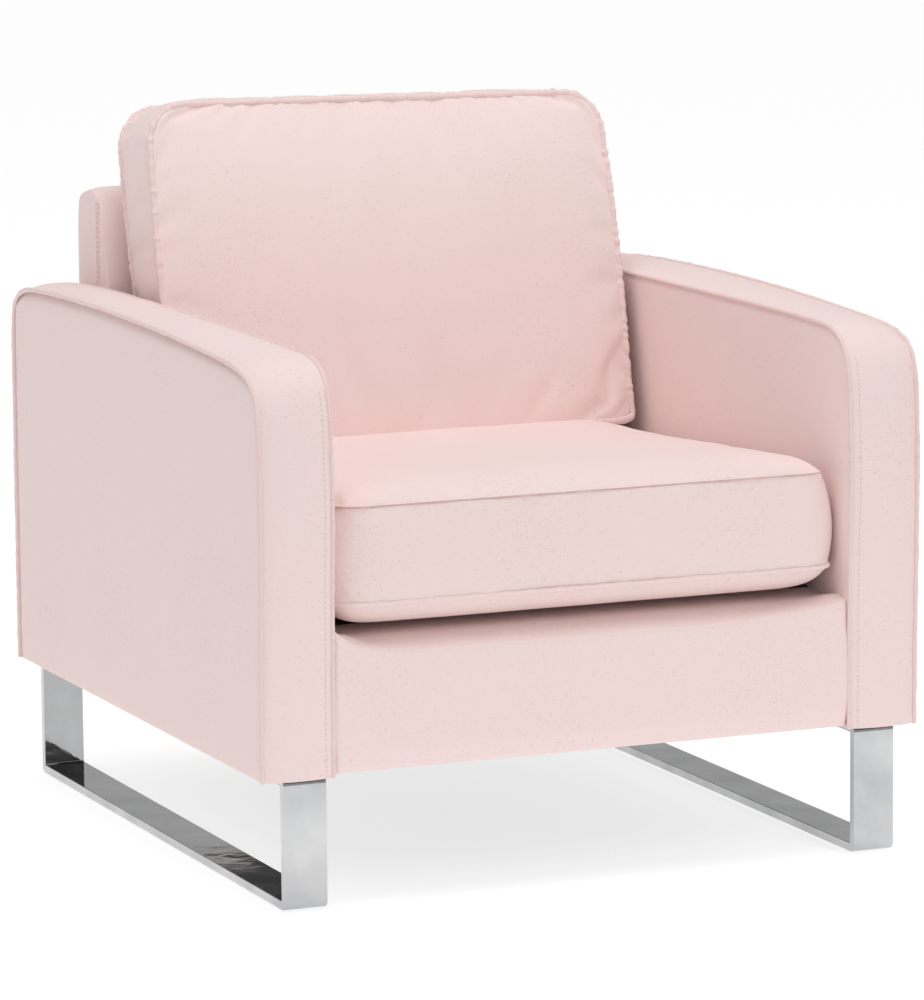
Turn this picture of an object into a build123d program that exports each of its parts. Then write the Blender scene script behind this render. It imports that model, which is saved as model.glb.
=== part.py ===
# Upholstered armchair on two chromed flat-bar sled legs, with a loose seat cushion and a loose
# back cushion. Millimetres, +Z up, -Y is the front, +X is the sitter's left (a viewer's right).
# The origin is on the floor, in the middle of the chair's width and depth.
import math
import os

from build123d import *

os.makedirs("parts", exist_ok=True)

# ---- overall sizes ----
width = 790.0  # over the two arms
depth = 830.0  # front of the arms to the outside back
leg_height = 150.0  # floor to the underside of the upholstered body
arm_top = 605.0  # floor to the flat top of an arm
arm_width = 85.0
back_top = 716.0  # floor to the top of the back frame
seat_depth = 631.0  # seat cushion, front to rear

# ---- layers ----
cover = 1.5  # upholstery fabric with its backing
board = 3.0  # hardboard panels of the arms
arm_pad = 15.5  # foam on the two sides of an arm
arm_top_pad = 20.0
arm_front_pad = 18.5
arm_back_pad = 8.5
rail_pad = 15.0  # foam over the front rail
back_front_pad = 25.0
back_side_pad = 8.5
back_top_pad = 20.0
dust_cloth = 1.0
fit_gap = 0.3  # between loose pieces and what they rest on
groove_gap = 0.2  # round a welt in the seam that it is sewn into

# ---- arm ----
arm_front_corner = 65.0
arm_back_corner = 32.0
arm_rail_height = 30.0
arm_base_height = 70.0
arm_front_post = 50.0
arm_rear_post = 60.0
arm_rail_front_round = 30.0
arm_rail_back_round = 12.0
welt_radius = 3.2

# ---- sled leg ----
bar_width = 50.0
bar_thick = 10.0
bar_reach = 14.0  # from an arm's inner board to the middle of a bar
bar_end_inset = 3.0  # from the front and back of the arms
bar_outer_bend = 9.0
bar_inner_bend = 1.5
bar_edge = 0.8
glide_thick = 2.5
glide_length = 60.0
glide_width = 30.0
glide_corner = 8.0
glide_place = 350.0  # from the middle, forwards and backwards

# ---- fasteners ----
bolt_radius = 4.0
bolt_hole = 4.5
leg_bolt_length = 78.0
leg_bolt_spots = (-300.0, 0.0, 300.0)
head_radius = 7.0
head_height = 4.4
head_taper = 20.0  # degrees
bolt_short = 1.0  # from a frame bolt's end to the outer face of the timber
hex_head_height = 5.4
key_across = 5.0
key_depth = 2.4
nut_flange_radius = 9.5
nut_flange = 1.5
nut_barrel_radius = 5.2
nut_barrel = 9.0
nut_bore = 4.05
nut_clear = 0.1
staple_length = 10.0
staple_thick = 0.7
staple_step = 45.0

# ---- seat frame ----
rail_thick = 25.0
front_rail_top = 285.0  # of its cover
front_rail_round = 18.0
side_rail_low = 171.0
block_leg = 62.0
block_height = 60.0
seat_bolt_spots = ((-356.0, 248.0), (-100.0, 190.0), (120.0, 190.0))
spring_count = 7
spring_wire = 1.9
spring_half = 20.0  # half of a spring's straight runs
spring_step = 24.0  # nearly, from one straight run to the next
spring_pitch = 82.0
clip_sheet = 1.2
clip_width = 18.0
clip_reach = 14.0
clip_seat = 8.0  # from a rail's inner edge to the spring's last run
deck_pad = 21.0
deck_cover = 1.5

# ---- back frame ----
lean = 14.0  # degrees from upright, of the back's front face and of the back cushion
back_front = 334.0  # Y of the back's padded front face at its top
back_foot = 300.0  # below this height the front face is upright
back_rear_corner = 28.0
back_front_corner = 26.0
back_least_corner = 4.0  # of the layers inside the cover
back_foot_bend = 20.0
back_lower_extra = 20.0  # that the lower rail is deeper than a seat rail is thick
stile_thick = 30.0
back_rail_height = 40.0
back_lower_rail = 312.0
back_bolt_spots = ((382.0, 300.0), (382.0, 500.0))
web_width = 50.0
web_thick = 1.5
web_rows = 5
web_columns = 5
web_top_margin = 6.0
web_edge_margin = 15.0  # from a stile to the first upright strap

# ---- seat cushion ----
cushion_side_gap = 2.5  # between the cushion and each arm
cushion_front = -405.0
cushion_cover = 1.2
seat_corner = 42.0
seat_bottom_seam = 331.0
seat_top_seam_front = 438.0
seat_fall = 3.0  # degrees, top falling towards the back
seat_top_crown = 10.0
seat_crown_inset = 70.0

# ---- back cushion ----
back_cushion_width = 588.0
back_cushion_height = 410.0
back_cushion_front = 120.0  # Y of its front seam where it meets the seat
back_cushion_foot_thick = 76.0  # between its two welts
back_cushion_head_thick = 106.0
back_corner = 52.0
back_front_crown = 26.0
back_crown_inset = 95.0
cushion_welt = 4.0

# ---- zips ----
zip_length = 500.0
tape_width = 14.0  # of each half
tape_thick = 1.0
tooth_width = 2.2
tooth_thick = 2.4
zip_slot = 1.2  # between the two halves
slider_length = 14.0
slider_plate = 1.2
slider_wall = 1.2
slider_web = 0.6
slider_clear = 0.3
pull_length = 26.0
pull_width = 6.0
pull_thick = 1.2
pull_corner = 2.0
zip_recess = 8.0  # depth of the channel under the back cushion
zip_room = 5.0  # behind a zip, for its slider

# ---- underside ----
dust_inset = 12.0
staple_edge = 20.0  # from the outside of the body to the line of staples

# ---- worked out from the sizes above ----
half_width = width / 2
half_depth = depth / 2
seat_half = half_width - arm_width
frame_low = leg_height + dust_cloth
arm_wood_in = seat_half + cover + arm_pad + board
arm_wood_out = half_width - cover - arm_pad - board
arm_wood_top = arm_top - cover - arm_top_pad
arm_wood_front = -half_depth + cover + arm_front_pad
arm_wood_back = half_depth - cover - arm_back_pad
arm_base_top = frame_low + arm_base_height
arm_rail_low = arm_wood_top - arm_rail_height
bar_middle = arm_wood_in + bar_reach
bar_out = bar_middle + bar_width / 2
sled_half = half_depth - bar_end_inset
rail_front = -half_depth + cover + rail_pad
rail_back = rail_front + rail_thick
rail_wood_top = front_rail_top - cover - rail_pad
slope = math.tan(math.radians(lean))
rise = math.cos(math.radians(lean))
run = math.sin(math.radians(lean))
back_foot_front = back_front - slope * (back_top - back_foot)
rear_rail_back = back_foot_front
rear_rail_front = rear_rail_back - rail_thick
side_rail_in = seat_half - rail_thick
stile_out = seat_half - cover - back_side_pad
stile_in = stile_out - stile_thick
clip_bend = spring_wire + fit_gap + clip_sheet
spring_level = rail_wood_top + clip_bend
deck_low = spring_level + clip_bend + fit_gap
deck_top = deck_low + deck_pad + deck_cover
cushion_half = seat_half - cushion_side_gap
seat_bottom = deck_top + fit_gap
seat_back = cushion_front + seat_depth
sides = (("left", -1), ("right", 1))


def layer(sign, near, far):
    """Low X of a layer that lies from near to far out from the middle, on one side."""
    return near if sign > 0 else -far


def arm_path(inset, bottom=leg_height):
    """Front, top and back of an arm in side view, drawn inset from its outer faces."""
    return FilletPolyline(
        (-half_depth + inset, bottom),
        (-half_depth + inset, arm_top - inset),
        (half_depth - inset, arm_top - inset),
        (half_depth - inset, bottom),
        radius=[arm_front_corner - inset, arm_back_corner - inset],
    )


def arm_face(inset, bottom=leg_height, mode=Mode.ADD):
    """The arm's side view as a face."""
    with BuildLine() as line:
        edge = arm_path(inset, bottom)
        Line(edge @ 1, edge @ 0)
    make_face(line.edges(), mode=mode)


def arm_wood_face():
    """Side view of everything that is wood inside an arm."""
    with BuildLine() as line:
        edge = FilletPolyline(
            (arm_wood_front, frame_low),
            (arm_wood_front, arm_wood_top),
            (arm_wood_back, arm_wood_top),
            (arm_wood_back, frame_low),
            radius=[arm_rail_front_round, arm_rail_back_round],
        )
        Line(edge @ 1, edge @ 0)
    make_face(line.edges())


def back_face(rear, top, front, bottom, mode=Mode.ADD):
    """Side view of the back, inset by its own amount at the rear, the top and the sloped front."""
    shift = front / rise
    with BuildLine() as line:
        edge = FilletPolyline(
            (half_depth - rear, bottom),
            (half_depth - rear, back_top - top),
            (back_front + shift - slope * top, back_top - top),
            (back_foot_front + shift, back_foot),
            (back_foot_front + shift, bottom),
            radius=[
                max(back_rear_corner - top, back_least_corner),
                max(back_front_corner - top, back_least_corner),
                back_foot_bend,
            ],
        )
        Line(edge @ 1, edge @ 0)
    make_face(line.edges(), mode=mode)


def box_between(low, high, mode=Mode.ADD):
    """A box given by its two opposite corners."""
    with Locations(((low[0] + high[0]) / 2, (low[1] + high[1]) / 2, (low[2] + high[2]) / 2)):
        Box(high[0] - low[0], high[1] - low[1], high[2] - low[2], mode=mode)


def cut_across(sign, spots, reach):
    """Clearance holes for bolts that run out sideways, from the middle to reach."""
    with BuildSketch(Plane.YZ) as holes:
        with Locations(*spots):
            Circle(bolt_hole)
    extrude(holes.sketch, amount=sign * reach, mode=Mode.SUBTRACT)


def cut_upwards(signs):
    """Clearance holes for the leg bolts, up from the bar's underside through the base rail."""
    with BuildSketch(Plane.XY.offset(leg_height - bar_thick - nut_clear)) as holes:
        with Locations(*[(s * bar_middle, y) for s in signs for y in leg_bolt_spots]):
            Circle(bolt_hole)
    extrude(holes.sketch, amount=arm_base_top, mode=Mode.SUBTRACT)


def tee_nut(seat, grow=0.0, mode=Mode.ADD):
    """A tee nut whose flange lies on the plane and whose barrel points against its normal."""
    with BuildSketch(seat.offset(grow)) as flange:
        Circle(nut_flange_radius + grow)
    extrude(flange.sketch, amount=-nut_flange - 2 * grow, mode=mode)
    with BuildSketch(seat.offset(-nut_flange)) as barrel:
        Circle(nut_barrel_radius + grow)
    extrude(barrel.sketch, amount=-nut_barrel - grow, mode=mode)


def leg_nut_seats(sign):
    """Planes on top of an arm's base rail where the leg bolts' tee nuts lie."""
    return [Plane((sign * bar_middle, y, arm_base_top)) for y in leg_bolt_spots]


def arm_nut_seats(sign):
    """Planes on the outer face of an arm's timber where the frame bolts' tee nuts lie."""
    return [
        Plane((sign * arm_wood_out, y, z), x_dir=(0, 1, 0), z_dir=(sign, 0, 0))
        for y, z in seat_bolt_spots + back_bolt_spots
    ]


def cut_nuts(seats):
    """Pockets that let tee nuts lie flush in the timber."""
    for seat in seats:
        tee_nut(seat, nut_clear, Mode.SUBTRACT)


# ---- legs: two closed loops of flat bar ----
for side, sign in sides:
    low_x = layer(sign, bar_out - bar_width, bar_out)
    with BuildPart() as sled:
        loop_height = leg_height - glide_thick
        middle_z = glide_thick + loop_height / 2
        with BuildSketch(Plane.YZ.offset(low_x)):
            with Locations((0, middle_z)):
                RectangleRounded(2 * sled_half, loop_height, bar_outer_bend)
                RectangleRounded(
                    2 * (sled_half - bar_thick),
                    loop_height - 2 * bar_thick,
                    bar_inner_bend,
                    mode=Mode.SUBTRACT,
                )
        extrude(amount=bar_width)
        fillet(sled.faces().filter_by(Axis.X).edges(), bar_edge)
        cut_upwards([sign])
    sled.part.label = side + "_sled_leg"
    export_step(sled.part, "parts/" + sled.part.label + ".step")

with BuildPart() as glides:
    with BuildSketch(Plane.XY):
        with Locations(*[(s * bar_middle, t * glide_place) for _, s in sides for t in (-1, 1)]):
            RectangleRounded(glide_width, glide_length, glide_corner)
    extrude(amount=glide_thick)
glides.part.label = "sled_glides"
export_step(glides.part, "parts/sled_glides.step")

# Button-head bolts come up through the bar and the dust cover into the arms' base rails.
with BuildPart() as leg_bolts:
    head_top = leg_height - bar_thick
    spots = [(s * bar_middle, y) for _, s in sides for y in leg_bolt_spots]
    with BuildSketch(Plane.XY.offset(head_top)):
        with Locations(*spots):
            Circle(bolt_radius)
    extrude(amount=leg_bolt_length)
    with BuildSketch(Plane.XY.offset(head_top)):
        with Locations(*spots):
            Circle(head_radius)
    extrude(amount=-head_height, taper=head_taper)
    with BuildSketch(Plane.XY.offset(head_top - head_height)):
        with Locations(*spots):
            RegularPolygon(key_across / 2, 6, major_radius=False)
    extrude(amount=key_depth, mode=Mode.SUBTRACT)
leg_bolts.part.label = "leg_bolts"
export_step(leg_bolts.part, "parts/leg_bolts.step")

with BuildPart() as leg_nuts:
    for _, sign in sides:
        for seat in leg_nut_seats(sign):
            tee_nut(seat)
            with BuildSketch(seat):
                Circle(nut_bore)
            extrude(amount=-nut_flange - nut_barrel, mode=Mode.SUBTRACT)
leg_nuts.part.label = "leg_tee_nuts"
export_step(leg_nuts.part, "parts/leg_tee_nuts.step")

# ---- arms: a timber frame, two boards, foam, and three fabric panels with welted seams ----
for side, sign in sides:
    wood_x = layer(sign, arm_wood_in, arm_wood_out)
    wood_thick = arm_wood_out - arm_wood_in
    uprights = {
        "front": (arm_wood_front, arm_front_post),
        "rear": (arm_wood_back - arm_rear_post, arm_rear_post),
    }
    for name, (start_y, post_depth) in uprights.items():
        with BuildPart() as post:
            box_between(
                (wood_x, start_y, arm_base_top),
                (wood_x + wood_thick, start_y + post_depth, arm_rail_low),
            )
            cut_across(sign, seat_bolt_spots + back_bolt_spots, arm_wood_out)
            cut_nuts(arm_nut_seats(sign))
        post.part.label = side + "_arm_" + name + "_post"
        export_step(post.part, "parts/" + post.part.label + ".step")

    with BuildPart() as top_rail:
        with BuildSketch(Plane.YZ.offset(wood_x)):
            arm_wood_face()
            with Locations((0, arm_rail_low / 2)):
                Rectangle(2 * depth, arm_rail_low, mode=Mode.SUBTRACT)
        extrude(amount=wood_thick)
    top_rail.part.label = side + "_arm_top_rail"
    export_step(top_rail.part, "parts/" + top_rail.part.label + ".step")

    with BuildPart() as base_rail:
        box_between(
            (wood_x, arm_wood_front, frame_low),
            (wood_x + wood_thick, arm_wood_back, arm_base_top),
        )
        cut_across(sign, seat_bolt_spots, arm_wood_out)
        cut_upwards([sign])
        cut_nuts(leg_nut_seats(sign) + arm_nut_seats(sign))
    base_rail.part.label = side + "_arm_base_rail"
    export_step(base_rail.part, "parts/" + base_rail.part.label + ".step")

    boards = {
        "inner": layer(sign, arm_wood_in - board, arm_wood_in),
        "outer": layer(sign, arm_wood_out, arm_wood_out + board),
    }
    for name, board_x in boards.items():
        with BuildPart() as panel:
            with BuildSketch(Plane.YZ.offset(board_x)):
                arm_wood_face()
            extrude(amount=board)
            cut_across(sign, seat_bolt_spots + back_bolt_spots, arm_wood_out)
        panel.part.label = side + "_arm_" + name + "_board"
        export_step(panel.part, "parts/" + panel.part.label + ".step")

    # The welts run up the front, over the top and down the back, one along each edge of the band.
    welt_lines = (seat_half + welt_radius, half_width - welt_radius)

    def sweep_welts(radius, mode):
        """Round cord along both edges of the arm's band."""
        for line_x in welt_lines:
            with BuildLine(Plane.YZ.offset(sign * line_x)) as route:
                arm_path(welt_radius, frame_low)
            with BuildSketch(Plane(route.line @ 0, z_dir=route.line % 0)) as cord:
                Circle(radius)
            sweep(cord.sketch, path=route.line, mode=mode)

    panels = {
        "outer_cover": (half_width - cover, half_width, leg_height),
        "inner_cover": (seat_half, seat_half + cover, frame_low),
    }
    for name, (near, far, bottom) in panels.items():
        with BuildPart() as panel:
            with BuildSketch(Plane.YZ.offset(layer(sign, near, far))):
                arm_face(welt_radius, bottom)
            extrude(amount=cover)
            sweep_welts(welt_radius + groove_gap, Mode.SUBTRACT)
            if name == "inner_cover":
                cut_across(sign, seat_bolt_spots + back_bolt_spots, arm_wood_out)
        panel.part.label = side + "_arm_" + name
        export_step(panel.part, "parts/" + panel.part.label + ".step")

    with BuildPart() as band:
        with BuildSketch(Plane.YZ.offset(layer(sign, *welt_lines))):
            arm_face(0.0)
            arm_face(cover, mode=Mode.SUBTRACT)
        extrude(amount=welt_lines[1] - welt_lines[0])
        sweep_welts(welt_radius + groove_gap, Mode.SUBTRACT)
    band.part.label = side + "_arm_band_cover"
    export_step(band.part, "parts/" + band.part.label + ".step")

    with BuildPart() as padding:
        with BuildSketch(Plane.YZ.offset(layer(sign, seat_half + cover, half_width - cover))):
            arm_face(cover, frame_low)
        extrude(amount=arm_width - 2 * cover)
        with BuildSketch(Plane.YZ.offset(layer(sign, arm_wood_in - board, arm_wood_out + board))):
            arm_wood_face()
        extrude(amount=wood_thick + 2 * board, mode=Mode.SUBTRACT)
        cut_across(sign, seat_bolt_spots + back_bolt_spots, arm_wood_out)
        sweep_welts(welt_radius + groove_gap, Mode.SUBTRACT)
    padding.part.label = side + "_arm_padding"
    export_step(padding.part, "parts/" + padding.part.label + ".step")

    with BuildPart() as welts:
        sweep_welts(welt_radius, Mode.ADD)
    welts.part.label = side + "_arm_welts"
    export_step(welts.part, "parts/" + welts.part.label + ".step")

# ---- seat frame: four rails, glued corner blocks, springs on clips, and a padded deck ----
with BuildPart() as front_rail:
    box_between(
        (-seat_half, rail_front, frame_low),
        (seat_half, rail_back, rail_wood_top),
    )
front_rail.part.label = "seat_front_rail"
export_step(front_rail.part, "parts/seat_front_rail.step")

with BuildPart() as rear_rail:
    box_between(
        (-side_rail_in, rear_rail_front, side_rail_low),
        (side_rail_in, rear_rail_back, rail_wood_top),
    )
rear_rail.part.label = "seat_rear_rail"
export_step(rear_rail.part, "parts/seat_rear_rail.step")

for side, sign in sides:
    with BuildPart() as side_rail:
        rail_x = layer(sign, side_rail_in, seat_half)
        box_between(
            (rail_x, rail_back, side_rail_low),
            (rail_x + rail_thick, rear_rail_back, rail_wood_top),
        )
        cut_across(sign, seat_bolt_spots, seat_half)
    side_rail.part.label = side + "_seat_rail"
    export_step(side_rail.part, "parts/" + side_rail.part.label + ".step")

with BuildPart() as blocks:
    with BuildSketch(Plane.XY.offset(side_rail_low)):
        for _, sign in sides:
            for corner_y, way in ((rail_back, 1), (rear_rail_front, -1)):
                with BuildLine():
                    Polyline(
                        (sign * side_rail_in, corner_y),
                        (sign * (side_rail_in - block_leg), corner_y),
                        (sign * side_rail_in, corner_y + way * block_leg),
                        close=True,
                    )
                make_face()
    extrude(amount=block_height)
blocks.part.label = "seat_corner_blocks"
export_step(blocks.part, "parts/seat_corner_blocks.step")

# Each spring is one wire bent to and fro in the flat, hooked into a clip at both rails.
spring_places = [(i - (spring_count - 1) / 2) * spring_pitch for i in range(spring_count)]
spring_start = rail_back - clip_seat
spring_end = rear_rail_front + clip_seat
spring_steps = round((spring_end - spring_start) / spring_step)
spring_turn = (spring_end - spring_start) / spring_steps / 2

with BuildPart() as spring:
    with BuildLine(Plane.XY.offset(spring_level)) as wire:
        for i in range(spring_steps + 1):
            run_y = spring_start + 2 * spring_turn * i
            way = 1 if i % 2 == 0 else -1
            Line((-way * spring_half, run_y), (way * spring_half, run_y))
            if i < spring_steps:
                ThreePointArc(
                    (way * spring_half, run_y),
                    (way * (spring_half + spring_turn), run_y + spring_turn),
                    (way * spring_half, run_y + 2 * spring_turn),
                )
    with BuildSketch(Plane(wire.wire() @ 0, z_dir=wire.wire() % 0)):
        Circle(spring_wire)
    sweep(path=wire.wire())

with BuildPart() as springs:
    with Locations(*[(x, 0, 0) for x in spring_places]):
        add(spring.part)
springs.part.label = "seat_springs"
export_step(springs.part, "parts/seat_springs.step")

# A clip is a bent strip on top of a rail that folds over the spring's last run.
with BuildPart() as clips:
    for run_y, way in ((spring_start, -1), (spring_end, 1)):
        for x in spring_places:
            with BuildSketch(Plane.YZ.offset(x - clip_width / 2)):
                with Locations((run_y, spring_level)):
                    Circle(clip_bend)
                    Circle(clip_bend - clip_sheet, mode=Mode.SUBTRACT)
                with Locations((run_y + way * clip_bend, spring_level)):
                    Rectangle(2 * clip_bend, 2 * clip_bend, mode=Mode.SUBTRACT)
                with Locations((run_y + way * clip_reach / 2, rail_wood_top + clip_sheet / 2)):
                    Rectangle(clip_reach, clip_sheet)
            extrude(amount=clip_width)
clips.part.label = "spring_clips"
export_step(clips.part, "parts/spring_clips.step")

with BuildPart() as pad:
    box_between(
        (-seat_half + cover, rail_back, deck_low),
        (seat_half - cover, rear_rail_back - cover, deck_low + deck_pad),
    )
pad.part.label = "deck_pad"
export_step(pad.part, "parts/deck_pad.step")

with BuildPart() as deck:
    box_between(
        (-seat_half + cover, rail_back, deck_low + deck_pad),
        (seat_half - cover, rear_rail_back - cover, deck_top),
    )
deck.part.label = "deck_cloth"
export_step(deck.part, "parts/deck_cloth.step")


def front_rail_face(inset, bottom, mode=Mode.ADD):
    """Section through the padded front rail."""
    with BuildLine() as line:
        edge = FilletPolyline(
            (-half_depth + inset, bottom),
            (-half_depth + inset, front_rail_top - inset),
            (rail_back, front_rail_top - inset),
            radius=front_rail_round - inset,
        )
        Polyline(edge @ 1, (rail_back, bottom), edge @ 0)
    make_face(line.edges(), mode=mode)


with BuildPart() as rail_padding:
    with BuildSketch(Plane.YZ.offset(-seat_half)):
        front_rail_face(cover, frame_low)
        with Locations(((rail_front + rail_back) / 2, (frame_low + rail_wood_top) / 2)):
            Rectangle(rail_thick, rail_wood_top - frame_low, mode=Mode.SUBTRACT)
    extrude(amount=2 * seat_half)
    # The springs' ends and their clips lie in pockets under this foam.
    box_between(
        (spring_places[0] - spring_pitch / 2, rail_front, rail_wood_top),
        (spring_places[-1] + spring_pitch / 2, rail_back, deck_low),
        Mode.SUBTRACT,
    )
rail_padding.part.label = "front_rail_padding"
export_step(rail_padding.part, "parts/front_rail_padding.step")

with BuildPart() as rail_cover:
    with BuildSketch(Plane.YZ.offset(-seat_half)):
        front_rail_face(0.0, leg_height)
        front_rail_face(cover, leg_height, Mode.SUBTRACT)
    extrude(amount=2 * seat_half)
rail_cover.part.label = "front_rail_cover"
export_step(rail_cover.part, "parts/front_rail_cover.step")

# ---- back frame: raked stiles, two rails, webbing, foam, and a fabric cover in two panels ----
back_wood = (cover + back_side_pad, cover + back_top_pad, cover + back_front_pad)
web_room = 2 * web_thick

for side, sign in sides:
    with BuildPart() as stile:
        with BuildSketch(Plane.YZ.offset(layer(sign, stile_in, stile_out))):
            back_face(*back_wood, frame_low)
        extrude(amount=stile_thick)
        cut_across(sign, back_bolt_spots, stile_out)
    stile.part.label = side + "_back_stile"
    export_step(stile.part, "parts/" + stile.part.label + ".step")

back_rails = {
    "back_top_rail": back_top - back_wood[1] - back_rail_height,
    "back_lower_rail": back_lower_rail,
}
for name, low_z in back_rails.items():
    with BuildPart() as cross_rail:
        with BuildSketch(Plane.YZ.offset(-stile_in)):
            back_face(*back_wood, frame_low)
            with Locations((half_depth, low_z + back_rail_height / 2)):
                Rectangle(2 * depth, back_rail_height, mode=Mode.INTERSECT)
        extrude(amount=2 * stile_in)
        if name == "back_lower_rail":
            lower_back = back_foot_front + back_wood[2] / rise + rail_thick + back_lower_extra
            box_between(
                (-stile_in, lower_back, low_z),
                (stile_in, half_depth, low_z + back_rail_height),
                Mode.SUBTRACT,
            )
    cross_rail.part.label = name
    export_step(cross_rail.part, "parts/" + name + ".step")

# Straps go across first and then down over them, tacked to the stiles and rails.
web_low = back_lower_rail
web_high = back_top - back_wood[1] - web_top_margin
web_origin_y = back_front + back_wood[2] / rise - slope * (back_top - web_low)
web_plane = Plane((0, web_origin_y, web_low), x_dir=(1, 0, 0), z_dir=(0, -rise, run))
web_length = (web_high - web_low) / rise
web_spread = 2 * (stile_in - web_edge_margin) - web_width
with BuildPart() as webbing:
    with BuildSketch(web_plane):
        for i in range(web_rows):
            with Locations((0, web_width / 2 + i * (web_length - web_width) / (web_rows - 1))):
                Rectangle(2 * stile_out, web_width)
    extrude(amount=web_thick)
    with BuildSketch(web_plane.offset(web_thick)):
        for i in range(web_columns):
            place_x = (i / (web_columns - 1) - 0.5) * web_spread
            with Locations((place_x, web_length / 2)):
                Rectangle(web_width, web_length)
    extrude(amount=web_thick)
webbing.part.label = "back_webbing"
export_step(webbing.part, "parts/back_webbing.step")

with BuildPart() as back_padding:
    with BuildSketch(Plane.YZ.offset(-seat_half + cover)):
        back_face(cover, cover, cover, frame_low)
    extrude(amount=2 * (seat_half - cover))
    with BuildSketch(Plane.YZ.offset(-stile_out)):
        back_face(back_wood[0], back_wood[1], back_wood[2] - web_room, frame_low)
    extrude(amount=2 * stile_out, mode=Mode.SUBTRACT)
    for _, sign in sides:
        cut_across(sign, back_bolt_spots, seat_half)
back_padding.part.label = "back_padding"
export_step(back_padding.part, "parts/back_padding.step")

outside_top = back_top - back_rear_corner
with BuildPart() as inside_back:
    with BuildSketch(Plane.YZ.offset(-seat_half)):
        back_face(0.0, 0.0, 0.0, frame_low)
    extrude(amount=2 * seat_half)
    with BuildSketch(Plane.YZ.offset(-seat_half + cover)):
        back_face(cover, cover, cover, frame_low)
    extrude(amount=2 * (seat_half - cover), mode=Mode.SUBTRACT)
    box_between(
        (-seat_half, half_depth - cover, frame_low),
        (seat_half, half_depth, outside_top),
        Mode.SUBTRACT,
    )
    for _, sign in sides:
        cut_across(sign, back_bolt_spots, seat_half)
inside_back.part.label = "inside_back_cover"
export_step(inside_back.part, "parts/inside_back_cover.step")

with BuildPart() as outside_back:
    box_between(
        (-seat_half, half_depth - cover, leg_height),
        (seat_half, half_depth, outside_top),
    )
outside_back.part.label = "outside_back_cover"
export_step(outside_back.part, "parts/outside_back_cover.step")


# ---- bolts that hold the arms to the seat frame and to the back ----
def frame_bolt(sign, start_x, spot):
    """Hex-head bolt with its washer face on start_x, running out to the arm's tee nut."""
    seat = Plane((sign * start_x, spot[0], spot[1]), x_dir=(0, 1, 0), z_dir=(sign, 0, 0))
    with BuildSketch(seat) as shank:
        Circle(bolt_radius)
    extrude(shank.sketch, amount=arm_wood_out - start_x - bolt_short)
    with BuildSketch(seat) as head:
        RegularPolygon(head_radius, 6)
    extrude(head.sketch, amount=-hex_head_height)


bolt_starts = {
    "seat_frame_bolts": (side_rail_in, seat_bolt_spots),
    "back_frame_bolts": (stile_in, back_bolt_spots),
}
for name, (start_x, spots) in bolt_starts.items():
    with BuildPart() as bolts:
        for _, sign in sides:
            for spot in spots:
                frame_bolt(sign, start_x, spot)
    bolts.part.label = name
    export_step(bolts.part, "parts/" + name + ".step")

with BuildPart() as frame_nuts:
    for _, sign in sides:
        for seat in arm_nut_seats(sign):
            tee_nut(seat)
            with BuildSketch(seat):
                Circle(nut_bore)
            extrude(amount=-nut_flange - nut_barrel, mode=Mode.SUBTRACT)
frame_nuts.part.label = "frame_tee_nuts"
export_step(frame_nuts.part, "parts/frame_tee_nuts.step")

# ---- underside ----
with BuildPart() as dust_cover:
    box_between(
        (-half_width + dust_inset, -half_depth + dust_inset, leg_height),
        (half_width - dust_inset, half_depth - dust_inset, frame_low),
    )
    cut_upwards([-1, 1])
dust_cover.part.label = "dust_cover"
export_step(dust_cover.part, "parts/dust_cover.step")

side_rows = int((depth - 2 * staple_edge) / staple_step)
end_rows = int((2 * seat_half - 2 * staple_edge) / staple_step)
with BuildPart() as staples:
    with BuildSketch(Plane.XY.offset(leg_height)):
        for i in range(side_rows + 1):
            place = (i / side_rows - 0.5) * (depth - 2 * staple_edge - staple_length)
            for _, sign in sides:
                with Locations((sign * (half_width - staple_edge), place)):
                    Rectangle(staple_thick, staple_length)
        for i in range(end_rows + 1):
            place = (i / end_rows - 0.5) * (2 * seat_half - 2 * staple_edge)
            for way in (-1, 1):
                with Locations((place, way * (half_depth - staple_edge))):
                    Rectangle(staple_length, staple_thick)
    extrude(amount=-staple_thick)
staples.part.label = "dust_cover_staples"
export_step(staples.part, "parts/dust_cover_staples.step")


# ---- zips ----
def zip_half_faces():
    """Section of a closed zip: two tapes with their teeth, a narrow slot apart."""
    for way in (-1, 1):
        tape_start = zip_slot / 2 + tooth_width
        with Locations((way * (tape_start + tape_width / 2), 0)):
            Rectangle(tape_width, tape_thick)
        with Locations((way * (zip_slot / 2 + tooth_width / 2), 0)):
            Rectangle(tooth_width, tooth_thick)


def zip_slider_face():
    """Section of a slider: plates above and below the teeth, lips over them, a web between."""
    lip_in = zip_slot / 2 + tooth_width + slider_clear
    half = lip_in + slider_wall
    plate_low = tooth_thick / 2 + slider_clear
    lip_low = tape_thick / 2 + slider_clear
    for way in (-1, 1):
        with Locations((0, way * (plate_low + slider_plate / 2))):
            Rectangle(2 * half, slider_plate)
        for hand in (-1, 1):
            with Locations((hand * (lip_in + slider_wall / 2), way * (lip_low + plate_low) / 2)):
                Rectangle(slider_wall, plate_low - lip_low)
    Rectangle(slider_web, 2 * plate_low)


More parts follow.
